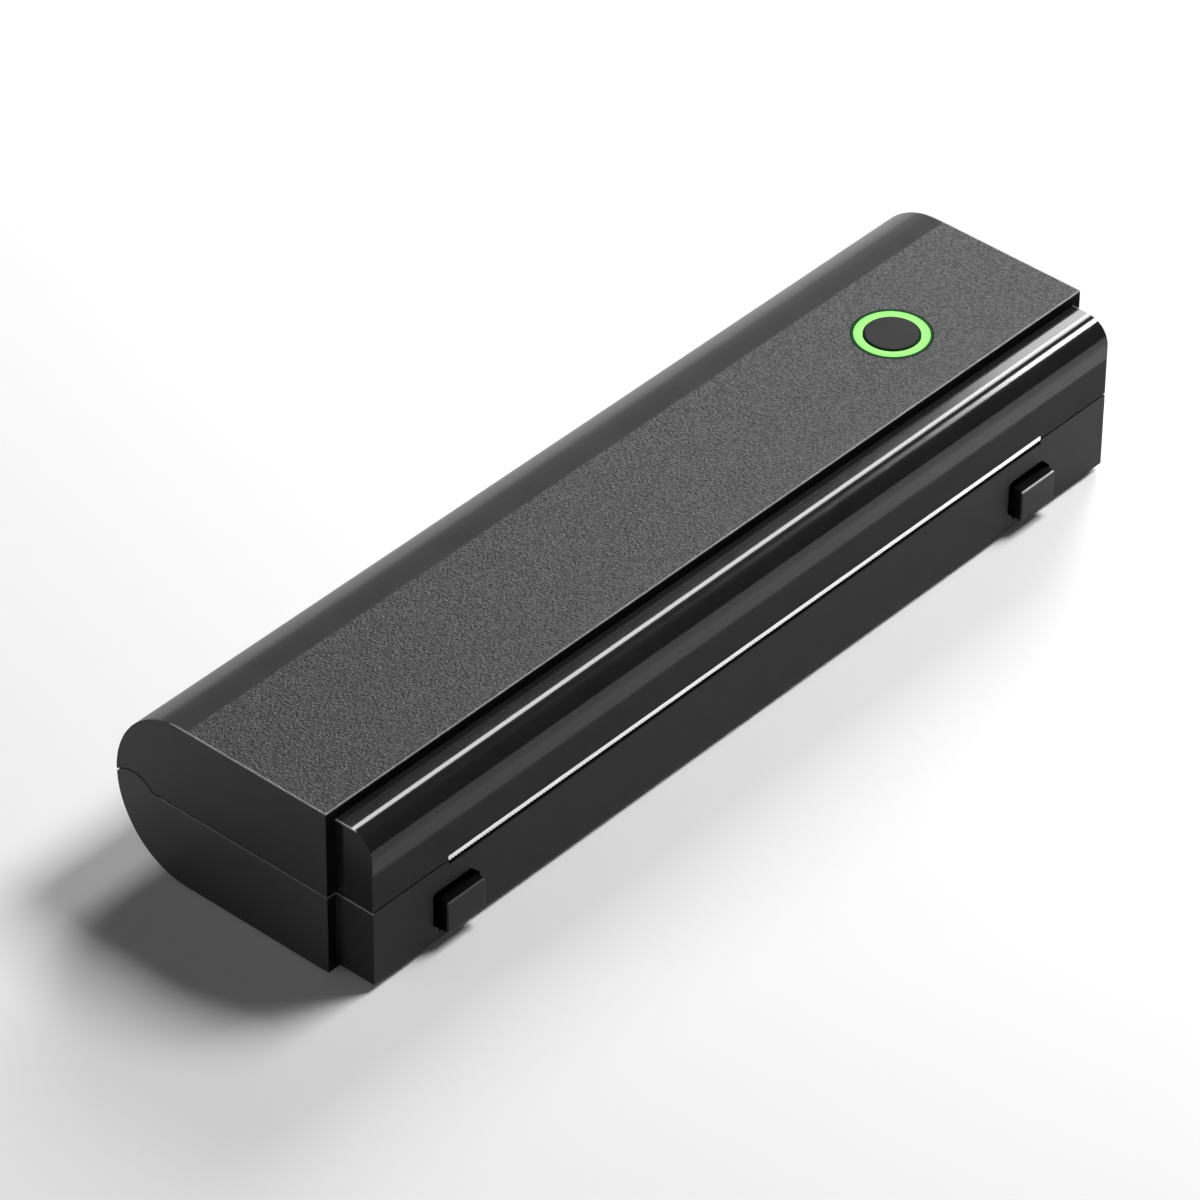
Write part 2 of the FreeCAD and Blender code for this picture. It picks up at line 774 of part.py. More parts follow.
def gear(teeth, centre, x0, x1, bore, phase):
    """A spur gear along X. Each flank is two straight runs through three points of the true involute."""
    pressure = math.radians(pressure_deg)
    pitch = gear_module * teeth / 2
    base = pitch * math.cos(pressure)
    tip = pitch + gear_module
    root = pitch - dedendum_share * gear_module
    start = max(base, root)
    middle = (start + tip) / 2
    half = math.pi / (2 * teeth) - backlash / (2 * pitch) + math.tan(pressure) - pressure

    def half_angle(radius):
        slope = math.acos(min(1, base / radius))
        return half - math.tan(slope) + slope

    origin = Vector(x0, centre.y, centre.z)
    corners = []
    for index in range(teeth):
        angle = phase + 2 * math.pi * index / teeth
        for side, radii in ((-1, (root, middle, tip)), (1, (tip, middle, root))):
            turns = [angle + side * half_angle(max(radius, start)) for radius in radii]
            corners += [origin + direction(turn) * radius for turn, radius in zip(turns, radii)]
    blank = polygon(corners, Vector(x1 - x0, 0, 0))
    return blank.cut(rod_x(bore, x0 - overrun, x1 + overrun, centre.y, centre.z))


def platen_gear():
    platen, _, _ = gear_centres()
    gap = math.radians(reduction_deg) + math.pi / platen_teeth
    return gear(platen_teeth, platen, -gear_far, -gear_near, shaft_radius, gap)


def reduction_gear():
    """A wheel and a smaller gear in one piece, on the axle."""
    _, reduction, _ = gear_centres()
    bore = axle_radius + axle_play
    small = gear(small_teeth, reduction, -wheel_near, -gear_near, bore, math.radians(reduction_deg) + math.pi)
    wheel = gear(wheel_teeth, reduction, -wheel_far, -wheel_near, bore, math.radians(motor_deg))
    return fused(small, wheel)


def motor_pinion():
    _, _, motor = gear_centres()
    gap = math.radians(motor_deg) + math.pi + math.pi / pinion_teeth
    return gear(pinion_teeth, motor, -wheel_far, -wheel_near, motor_shaft_radius, gap)


def motor_shaft():
    _, _, motor = gear_centres()
    ends = (-wheel_far - motor_shaft_proud, motor_shaft_sink - frame_x)
    return rod_x(motor_shaft_radius, *ends, motor.y, motor.z)


def stepper_motor():
    """A round can motor on a flat flange with two ears."""
    _, _, motor = gear_centres()
    can = rod_x(motor_radius, -frame_x, motor_length - frame_x, motor.y, motor.z)
    y0 = motor.y - motor_ear_reach
    y1 = motor.y + motor_ear_reach
    flange = block(-frame_x, motor_flange - frame_x, y0, y1, motor.z - motor_ear, motor.z + motor_ear)
    ends = (-frame_x - overrun, motor_shaft_sink - frame_x)
    return fused(can, flange).cut(rod_x(motor_shaft_radius + motor_shaft_play, *ends, motor.y, motor.z))


def side_frame(side):
    """A steel plate with two screw tabs. It carries one pivot of the head and, on the left, the drive."""
    depth = left_frame_depth() if side < 0 else right_frame_depth
    x0, x1 = span(side, frame_x, frame_outer)
    frame = block(x0, x1, frame_front_y, frame_front_y + depth, frame_z, frame_top_z)
    tabs = []
    for tab in frame_tabs(side):
        x2, x3 = span(side, frame_x - tab_length, frame_outer)
        y0 = tab.y - tab_width / 2
        tabs.append(block(x2, x3, y0, y0 + tab_width, frame_z, frame_z + frame_thick))
    holes = [screw_hole(tab, Vector(0, 0, -1), frame_thick) for tab in frame_tabs(side)]
    ends = (x0 - overrun, x1 + overrun)
    holes.append(rod_x(head_pin_radius + head_pin_play, *ends, pivot_y, pivot_z))
    if side < 0:
        _, reduction, motor = gear_centres()
        holes.append(axle_root(reduction))
        holes.append(post(motor_hole, Vector(ends[0], motor.y, motor.z), Vector(1, 0, 0), ends[1] - ends[0]))
    return fused(frame, *tabs).common(body_prism(wall + frame_room, half_length)).cut(holes)


def gear_axle():
    """The stud that the reduction gear turns on, riveted flush into the left frame."""
    _, reduction, _ = gear_centres()
    far = wheel_far + axle_clip_gap + axle_clip + axle_clip_gap
    stud = rod_x(axle_radius, -far, -frame_outer, reduction.y, reduction.z)
    return fused(stud, axle_root(reduction))


def axle_root(centre):
    """The root of the gear axle, as thick as the side frame that it is riveted into."""
    return post(axle_root_radius, Vector(-frame_outer, centre.y, centre.z), Vector(1, 0, 0), frame_thick)


def clip_ring(radius, bore, x0, x1, centre):
    """A retaining ring along X. Its few-sided hole touches the shaft at the middle of each side."""
    along = Vector(1, 0, 0)
    start = Vector(x0, centre.y, centre.z)
    hole = post(bore / math.cos(math.pi / small_sides), start, along, x1 - x0)
    return post(radius, start, along, x1 - x0).cut(hole)


def axle_clip_ring():
    _, reduction, _ = gear_centres()
    near = -wheel_far - axle_clip_gap
    return clip_ring(axle_clip_radius, axle_radius, near - axle_clip, near, reduction)


def head_plate():
    """The aluminium plate that carries the heater and cools it, with a pivot at each end."""
    plate = block(-head_half, head_half, head_front_y, head_back_y, head_z, heater_z)
    reach = frame_outer + head_pin_proud
    pivots = [rod_x(head_pin_radius, *span(side, head_half, reach), pivot_y, pivot_z) for side in (-1, 1)]
    return fused(plate, *pivots)


def head_heater():
    half = head_half - heater_inset
    return block(-half, half, head_front_y, head_front_y + heater_depth, heater_z, head_top_z)


def head_driver():
    """The sealed strip over the driver chips, behind the heater and lower than it."""
    half = head_half - heater_inset
    front = head_front_y + heater_depth + driver_gap
    return block(-half, half, front, front + driver_depth, heater_z, heater_z + driver_thick)


def head_plug():
    x0 = head_plug_x - head_plug_width / 2
    x1 = x0 + head_plug_width
    return block(x0, x1, head_plug_y, head_plug_y + head_plug_depth, head_z - head_plug_height, head_z)


def head_ribbon():
    """The flat cable from the head's plug down to the plug on the board."""
    x0 = head_plug_x - head_plug_width / 2 + ribbon_inset
    x1 = head_plug_x + head_plug_width / 2 - ribbon_inset
    start = Vector(x0, head_plug_y + head_plug_depth + ribbon_gap, head_z - head_plug_height / 2)
    end = Vector(x0, board_y + ribbon_gap, board_top_z + ribbon_plug_height / 2)
    knee = Vector(x0, (start.y + end.y) / 2, start.z)
    drop = Vector(x0, knee.y, end.z)
    thick = Vector(0, 0, ribbon_thick)
    across = Vector(0, ribbon_thick, 0)
    lower = [start, knee, drop, end]
    upper = [end + thick, drop + thick + across, knee + thick + across, start + thick]
    return polygon(lower + upper, Vector(x1 - x0, 0, 0))


def head_springs():
    """Two bent strips of spring steel: a flat foot, a slope and a short flat tip under the head."""
    springs = []
    y = inner_wall_y + spring_foot_gap
    z = head_z - spring_rise - spring_strip
    strip = Vector(0, 0, spring_strip)
    for side in (-1, 1):
        x0, x1 = span(side, spring_shift - spring_width / 2, spring_shift + spring_width / 2)
        foot = Vector(x0, y, z)
        bend = foot + Vector(0, spring_foot, 0)
        crest = bend + Vector(0, spring_run, spring_rise)
        tip = crest + Vector(0, spring_tip, 0)
        points = [foot, bend, crest, tip, tip + strip, crest + strip, bend + strip, foot + strip]
        springs.append(polygon(points, Vector(x1 - x0, 0, 0)))
    return Part.makeCompound(springs)


def battery_pack():
    pack = block(
        battery_left, battery_left + battery_length, battery_y, battery_y + battery_width,
        inner_floor_z, inner_floor_z + battery_height,
    )
    long_edges = [edge for edge in pack.Edges if edge.Length > battery_width + battery_height]
    return pack.makeFillet(battery_round, long_edges)


def main_board():
    board = block(board_left, board_right, board_y, board_y + board_width, board_z, board_top_z)
    return board.cut([screw_hole(place, Vector(0, 0, -1), board_thick) for place in board_screw_places()])


def board_parts():
    """Chips, the ribbon's plug and the capacitors on the main board."""
    pieces = []
    chip_y = board_y + (board_width - chip_side) / 2
    chip_top = board_top_z + chip_thick
    for index in range(board_pairs):
        x = head_plug_x + head_plug_width / 2 + chip_gap + index * chip_pitch
        pieces.append(block(x, x + chip_side, chip_y, chip_y + chip_side, board_top_z, chip_top))
        can_x = board_right - can_inset - index * can_pitch
        can_y = board_y + board_width / 2
        pieces.append(post_z(can_radius, board_top_z, board_top_z + can_height, can_x, can_y, round_sides))
    x0 = head_plug_x - head_plug_width / 2
    plug_y = board_y + ribbon_gap + ribbon_gap
    top = board_top_z + ribbon_plug_height
    pieces.append(block(x0, x0 + head_plug_width, plug_y, plug_y + ribbon_plug_depth, board_top_z, top))
    return Part.makeCompound(pieces)


def usb_socket():
    """The charging socket: an oval steel sleeve with a tongue inside, mouth towards +X."""
    mouth = half_length - socket_inset
    back = mouth - socket_depth
    inside = socket_solid(-socket_shell, back + socket_shell, mouth + overrun)
    sleeve = socket_solid(0, back, mouth).cut(inside)
    y0 = socket_y - socket_tongue_width / 2
    z0 = socket_z - socket_tongue / 2
    tongue = block(back, mouth - socket_inset, y0, y0 + socket_tongue_width, z0, z0 + socket_tongue)
    return fused(sleeve, tongue)


def hinge_pins():
    """A stub pin at each end, pressed into the base's inner rib, that an ear of the lid turns on."""
    pins = [hinge_rod(pin_radius, *span(side, rib_inner, ear_outer)) for side in (-1, 1)]
    return Part.makeCompound(pins)


def rubber_feet():
    return Part.makeCompound([post_z(foot_radius, 0, floor_z, x, y, round_sides) for x, y in foot_places()])


def latch_button(side):
    """A release button in one piece with its flange, side arm and hook."""
    x0, x1 = span(side, button_x - button_width / 2, button_x + button_width / 2)
    face = block(x0, x1, button_y, latch_back_y, button_low_z, button_low_z + button_height)
    margin = latch_flange_margin
    flange = block(
        x0 - margin, x1 + margin, latch_y, latch_back_y, button_low_z, button_low_z + button_height + margin
    )
    reach = hook_width / 2
    x2, x3 = span(side, button_x, hook_x + reach)
    arm = block(x2, x3, latch_y, latch_back_y, latch_arm_z, latch_arm_top_z)
    x4, x5 = span(side, hook_x - reach, hook_x + reach)
    foot = block(x4, x5, latch_y, hook_post_y + hook_post, latch_arm_z, latch_arm_top_z)
    stem = block(x4, x5, hook_post_y, hook_post_y + hook_post, latch_arm_z, hook_z + hook_height)
    hook = block(x4, x5, hook_tip_y, hook_post_y, hook_z, hook_z + hook_height)
    return fused(face, flange, arm, foot, stem, hook)


def latch_spring(side):
    """A bent strip between a release button and the rib behind it."""
    low = button_mid_z - latch_spring_width / 2
    strip = latch_spring_strip
    outer = ((-latch_spring_half, latch_rib_y), (-latch_spring_crest, latch_back_y))
    inner = ((-latch_spring_crest, latch_back_y + strip), (strip - latch_spring_half, latch_rib_y))
    left = [Vector(side * button_x + x, y, low) for x, y in outer]
    left_inner = [Vector(side * button_x + x, y, low) for x, y in inner]
    right = [Vector(side * button_x - x, y, low) for x, y in reversed(outer)]
    right_inner = [Vector(side * button_x - x, y, low) for x, y in reversed(inner)]
    return polygon(left + right + right_inner + left_inner, Vector(0, 0, latch_spring_width))


def top_cover():
    """The upper half of the housing: roof, ends, back and front wall, with the hinge ears inside."""
    outer = body_prism(0, half_length)
    shell = outer.cut(body_prism(wall, inner_end))
    keep = block(-half_length, half_length, wall_y, back_y + overrun, lid_rim_z, top_z + overrun)
    shell = shell.common(keep).cut(hinge_rod(knuckle_radius + seam_gap, -half_length, half_length))
    added = lid_posts()
    cuts = lid_cuts()
    for side in (-1, 1):
        ear, bore = hinge_ear(side)
        added.append(ear)
        cuts.append(bore)
    return fused(shell, *[solid.common(outer) for solid in added]).cut(cuts).removeSplitter()


def hinge_ear(side):
    """One hinge ear, a barrel on an arm with a root in the lid's corner, and its bore."""
    x0, x1 = span(side, ear_inner, ear_outer)
    reach = arm_width / 2
    root_z = hinge_z + knuckle_radius + seam_gap
    arm = block(x0, x1, hinge_y - reach, hinge_y + reach, hinge_z, root_z + ear_root)
    x2, x3 = span(side, ear_inner, half_length)
    root = block(x2, x3, hinge_y - reach, back_y, root_z, root_z + ear_root)
    ear = fused(hinge_rod(barrel_radius, x0, x1), arm, root)
    bore = hinge_rod(pin_radius + pin_play, x0 - overrun, x1 + hinge_gap)
    return ear, bore


def lid_posts():
    """Bosses that hang from the roof, each down to the piece that is screwed to it."""
    seats = [place + Vector(0, 0, liner_thick) for place in liner_screw_places()]
    brackets = bracket_screw_places(-1) + bracket_screw_places(1)
    seats += [place + Vector(0, 0, bracket_thick) for place in brackets]
    seats += [place + Vector(0, 0, switch_board_thick) for place in switch_screw_places()]
    high_z = top_z - wall / 2
    return [post_z(boss_radius, seat.z, high_z, seat.x, seat.y) for seat in seats]


def lid_cuts():
    """The button's hole, the paper inlet, and the holes for the screws."""
    up = Vector(0, 0, 1)
    cuts = [
        rod_z(ring_radius, ring_under_z - overrun, top_z + overrun, power_x, power_y),
        block(-slot_half, slot_half, hinge_y, back_y + overrun, base_rim_z, lid_rim_z + inlet_lift),
    ]
    for place in liner_screw_places():
        cuts.append(pilot(place + up * liner_thick, up, screw_length + boss_slack))
    for side in (-1, 1):
        for place in bracket_screw_places(side):
            cuts.append(pilot(place + up * bracket_thick, up, screw_length - bracket_thick + boss_slack))
    for place in switch_screw_places():
        cuts.append(pilot(place + up * switch_board_thick, up, roof_z - switch_board_top_z))
    for place in cover_screw_places():
        cuts.append(screw_hole(place, Vector(0, -1, 0), wall))
    return cuts


def front_cover():
    """The upper nose: a shell open backwards, with screw bosses and the lugs that the latches hold."""
    back = wall_y - nose_gap
    outer = nose_prism(0, nose_half, back, lid_rim_z)
    hollow = nose_prism(nose_wall, nose_half - nose_wall, back + overrun, lid_rim_z + nose_wall)
    shell = outer.cut(hollow)
    added = []
    cuts = []
    for place in cover_screw_places():
        front = Vector(place.x, nose_y + nose_wall / 2, place.z)
        boss = post(boss_radius, front, Vector(0, 1, 0), back - front.y)
        added.append(boss.common(outer))
        cuts.append(pilot(place, Vector(0, -1, 0), screw_length + boss_slack))
    reach = hook_width / 2 + lug_side_gap
    for side in (-1, 1):
        x0, x1 = span(side, hook_x - reach, hook_x + reach)
        lug = block(x0, x1, lug_back_y - lug_thick, lug_back_y, lug_z, lid_rim_z + nose_wall)
        lip = block(x0, x1, lug_back_y, lip_y, lug_z, lip_top_z)
        added += [lug, lip]
    notch = block(
        -tear_half, tear_half, nose_y - overrun, nose_y + tear_setback + tear_thick,
        lid_rim_z - overrun, lid_rim_z + tear_height,
    )
    return fused(shell, *added).cut(cuts + [notch])


def tear_bar():
    """A strip in the cover's lower edge with saw teeth that point down into the exit."""
    count = int(2 * tear_half / tear_pitch)
    pitch = 2 * tear_half / count
    y = nose_y + tear_setback
    teeth = []
    for index in range(count):
        x = -tear_half + index * pitch
        teeth.append(Vector(x, y, lid_rim_z))
        teeth.append(Vector(x + pitch / 2, y, lid_rim_z - tear_tooth))
    ends = [
        Vector(tear_half, y, lid_rim_z),
        Vector(tear_half, y, lid_rim_z + tear_height),
        Vector(-tear_half, y, lid_rim_z + tear_height),
    ]
    return polygon(teeth + ends, Vector(0, tear_thick, 0))


def light_ring():
    """A clear ring pressed into the roof, flush with it."""
    ring = rod_z(ring_radius, ring_under_z, top_z, power_x, power_y)
    return ring.cut(rod_z(power_radius + power_play, ring_under_z, top_z, power_x, power_y))


def power_button():
    """A round cap with a crowned top, a flange that holds it in and a stem over the switch."""
    centre = Vector(power_x, power_y, top_z)
    crown = Part.makeCone(power_radius, power_flat_share * power_radius, power_crown, centre)
    cap = rod_z(power_radius, power_flange_z, top_z, power_x, power_y)
    flange_low = power_flange_z - power_flange
    flange_radius = power_radius + power_flange_margin
    flange = post_z(flange_radius, flange_low, power_flange_z, power_x, power_y, round_sides)
    stem = post_z(power_stem_radius, power_stem_z, flange_low, power_x, power_y)
    return fused(cap, crown, flange, stem)


def switch_board():
    x0 = power_x - switch_board_length / 2
    y0 = power_y - switch_board_width / 2
    x1 = x0 + switch_board_length
    y1 = y0 + switch_board_width
    board = block(x0, x1, y0, y1, switch_board_z, switch_board_top_z)
    up = Vector(0, 0, 1)
    return board.cut([screw_hole(place, up, switch_board_thick) for place in switch_screw_places()])


def push_switch():
    side = switch_side / 2
    body_top = switch_board_top_z + switch_height
    body = block(power_x - side, power_x + side, power_y - side, power_y + side, switch_board_top_z, body_top)
    return fused(body, post_z(switch_plunger_radius, body_top, switch_top_z, power_x, power_y))


def lid_liner():
    """The plate inside the lid, with ribs that keep the paper down."""
    plate = block(-deck_half, deck_half, liner_front_y, liner_back_y, liner_z, liner_top_z)
    ribs = paper_ribs(liner_front_y, liner_back_y, liner_z - liner_rib, liner_z)
    holes = [screw_hole(place, Vector(0, 0, 1), liner_thick) for place in liner_screw_places()]
    return fused(plate, *ribs).cut(holes)


def platen_bracket(side):
    """A plate across the shaft with a flange under the roof's bosses, and a seat for a bush."""
    x0, x1 = span(side, bracket_x, bracket_outer)
    half = bracket_width / 2
    low_z = platen_z - bracket_drop
    plate = block(x0, x1, platen_y - half, platen_y + half, low_z, flange_top_z)
    x2, x3 = span(side, bracket_x, bracket_outer + bracket_flange)
    flange = block(x2, x3, platen_y - half, platen_y + half, flange_z, flange_top_z)
    holes = [screw_hole(place, Vector(0, 0, 1), bracket_thick) for place in bracket_screw_places(side)]
    holes.append(post(bush_radius, Vector(x0, platen_y, platen_z), Vector(1, 0, 0), bracket_thick))
    return fused(plate, flange).cut(holes)


def platen_bushes():
    """A few-sided bush in each bracket, so that it can't turn, with a round bore."""
    bushes = []
    for side in (-1, 1):
        x0, x1 = span(side, bracket_x, bracket_outer + bush_proud)
        body = post(bush_radius, Vector(x0, platen_y, platen_z), Vector(1, 0, 0), x1 - x0)
        bushes.append(body.cut(rod_x(shaft_radius + shaft_play, x0, x1, platen_y, platen_z)))
    return Part.makeCompound(bushes)


def shaft_clip_near():
    return bracket_outer + bush_proud + axle_clip_gap


def platen_shaft():
    right = shaft_clip_near() + shaft_clip_thick + shaft_end
    return rod_x(shaft_radius, -gear_far, right, platen_y, platen_z)


def platen_roller():
    sleeve = rod_x(platen_radius, -slot_half, slot_half, platen_y, platen_z)
    return sleeve.cut(rod_x(shaft_radius, -slot_half, slot_half, platen_y, platen_z))


def shaft_clip():
    near = shaft_clip_near()
    platen, _, _ = gear_centres()
    return clip_ring(shaft_clip_radius, shaft_radius, near, near + shaft_clip_thick, platen)


def screws(places, toward, length=screw_length):
    return Part.makeCompound([screw(place, toward, length) for place in places])


def build():
    """Every piece of the printer, by name."""
    down = Vector(0, 0, -1)
    up = Vector(0, 0, 1)
    left, right = -1, 1
    return {
        "base_shell": base_shell(),
        "front_guide": front_guide(),
        "paper_deck": paper_deck(),
        "paper_sensor": paper_sensor(),
        "left_frame": side_frame(left),
        "right_frame": side_frame(right),
        "stepper_motor": stepper_motor(),
        "gear_axle": gear_axle(),
        "axle_clip": axle_clip_ring(),
        "head_springs": head_springs(),
        "head_ribbon": head_ribbon(),
        "battery_pack": battery_pack(),
        "main_board": main_board(),
        "board_parts": board_parts(),
        "usb_socket": usb_socket(),
        "hinge_pins": hinge_pins(),
        "rubber_feet": rubber_feet(),
        "latch_spring_left": latch_spring(left),
        "latch_spring_right": latch_spring(right),
        "deck_screws": screws(deck_screw_places(), down),
        "frame_screws": screws(frame_tabs(left) + frame_tabs(right), down, short_screw),
        "board_screws": screws(board_screw_places(), down, short_screw),
        "head_plate": head_plate(),
        "head_heater": head_heater(),
        "head_driver": head_driver(),
        "head_plug": head_plug(),
        "top_cover": top_cover(),
        "front_cover": front_cover(),
        "tear_bar": tear_bar(),
        "light_ring": light_ring(),
        "switch_board": switch_board(),
        "push_switch": push_switch(),
        "lid_liner": lid_liner(),
        "platen_bracket_left": platen_bracket(left),
        "platen_bracket_right": platen_bracket(right),
        "platen_bushes": platen_bushes(),
        "liner_screws": screws(liner_screw_places(), up),
        "bracket_screws": screws(bracket_screw_places(left) + bracket_screw_places(right), up),
        "cover_screws": screws(cover_screw_places(), Vector(0, -1, 0)),
        "switch_screws": screws(switch_screw_places(), up),
        "platen_shaft": platen_shaft(),
        "platen_roller": platen_roller(),
        "platen_gear": platen_gear(),
        "shaft_clip": shaft_clip(),
        "reduction_gear": reduction_gear(),
        "motor_pinion": motor_pinion(),
        "motor_shaft": motor_shaft(),
        "power_button": power_button(),
        "latch_button_left": latch_button(left),
        "latch_button_right": latch_button(right),
    }


os.makedirs("parts", exist_ok=True)
for name, shape in build().items():
    shape.exportStep(f"parts/{name}.step")
    print(f"{name}: {len(shape.Solids)} solids, {shape.Volume:.1f} mm3, valid {shape.isValid()}")
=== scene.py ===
"""Looks, light and camera for the portable thermal printer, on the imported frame. Lengths are in metres."""

import math

import bmesh
import bpy
from mathutils import Matrix, Vector


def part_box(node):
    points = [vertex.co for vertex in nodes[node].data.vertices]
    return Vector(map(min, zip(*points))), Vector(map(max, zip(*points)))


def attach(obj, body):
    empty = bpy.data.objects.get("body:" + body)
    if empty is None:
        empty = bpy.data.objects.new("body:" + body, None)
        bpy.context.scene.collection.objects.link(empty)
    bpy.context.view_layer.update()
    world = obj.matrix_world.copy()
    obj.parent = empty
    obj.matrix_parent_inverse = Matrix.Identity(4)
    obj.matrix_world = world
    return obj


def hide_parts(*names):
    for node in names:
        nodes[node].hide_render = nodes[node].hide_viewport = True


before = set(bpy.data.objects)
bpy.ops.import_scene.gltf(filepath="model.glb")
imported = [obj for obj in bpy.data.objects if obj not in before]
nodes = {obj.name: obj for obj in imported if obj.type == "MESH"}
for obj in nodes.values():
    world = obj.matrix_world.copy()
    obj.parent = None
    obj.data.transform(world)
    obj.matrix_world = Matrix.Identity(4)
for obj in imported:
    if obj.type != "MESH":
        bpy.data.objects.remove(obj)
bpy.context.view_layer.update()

MM = 0.001

# How a mask fades at its edge: as a rule, and where the edge has to look sharp.
fade = 0.05 * MM
crisp = 0.02 * MM

# Vertices closer to each other than this are one.
weld_reach = 0.002 * MM

# The flat top's level, and its edge, which is worn and carries a painted highlight.
top_level = 47.4 * MM
top_fade = 0.5 * MM
top_edge = 47.5 * MM

# The top's grain, with the shares of a noise between which it turns lighter, the line where it ends at the
# back, and the matt margin that runs from there onto the round back.
grain_size = 0.65 * MM
grain_depth = 0.36 * MM
speckle_size = 0.9 * MM
speckle_shares = (0.35, 0.65)
grain_back = 16.8 * MM
grain_fade = 0.6 * MM
margin_back = 20.8 * MM
margin_fade = 5 * MM

# How round the edges of the shells and of the release buttons are.
shell_round = 0.15 * MM
button_round = 0.4 * MM

# How far a worn edge with its painted highlight reaches from its corner, and the corners that this band
# follows.
edge_band = 0.3 * MM
body_half = 135 * MM
base_rim = 23.0 * MM
ear_front = 26.5 * MM
nose_top = 44.6 * MM

# The hinge's axis, and the width of the strips on the ears round it.
hinge_y = 34.8 * MM
hinge_z = 18.8 * MM
ear_width = 1.5 * MM

# The nose's front face, where its rounding starts, and its half length with a little room beyond it.
nose_front = -37.75 * MM
round_start = 33.5 * MM
round_fade = 1.5 * MM
nose_half = 132.2 * MM
nose_room = 0.04 * MM

# The body's front wall, which is seen only in the narrow gap behind the nose, and the lip over it.
wall_front = -26.2 * MM
lip_front = -26.25 * MM

# The release buttons' front faces, with their tops and the depth of their rounded edges.
button_front = -40.25 * MM
button_top = 13.25 * MM
button_edge = 0.42 * MM

# The light ring's middle, its two edges and the width of the band of painted dark green shade round it, and
# the rim of the power button inside it, where painted shade lies.
ring_middle = (90 * MM, -3.55 * MM, 0.0)
ring_bore = 7.0 * MM
ring_edge = 10.0 * MM
ring_shade_width = 0.3 * MM
disc_rim = 6.75 * MM
disc_fade = 0.15 * MM

# The line on which the head prints, and half the width of its row of dots.
print_line = -15.5 * MM
dots_half = 0.7 * MM

# Camera, fitted to the photograph. The roll is in degrees, the lens and the sensor are in millimetres.
camera_place = (-1.02227, -0.88527, 1.08052)
camera_forward = (0.5907, 0.51802, -0.61865)
camera_roll = 0.53
camera_lens = 216.1
camera_sensor = 36.0
camera_reach = 50.0


# Node helpers

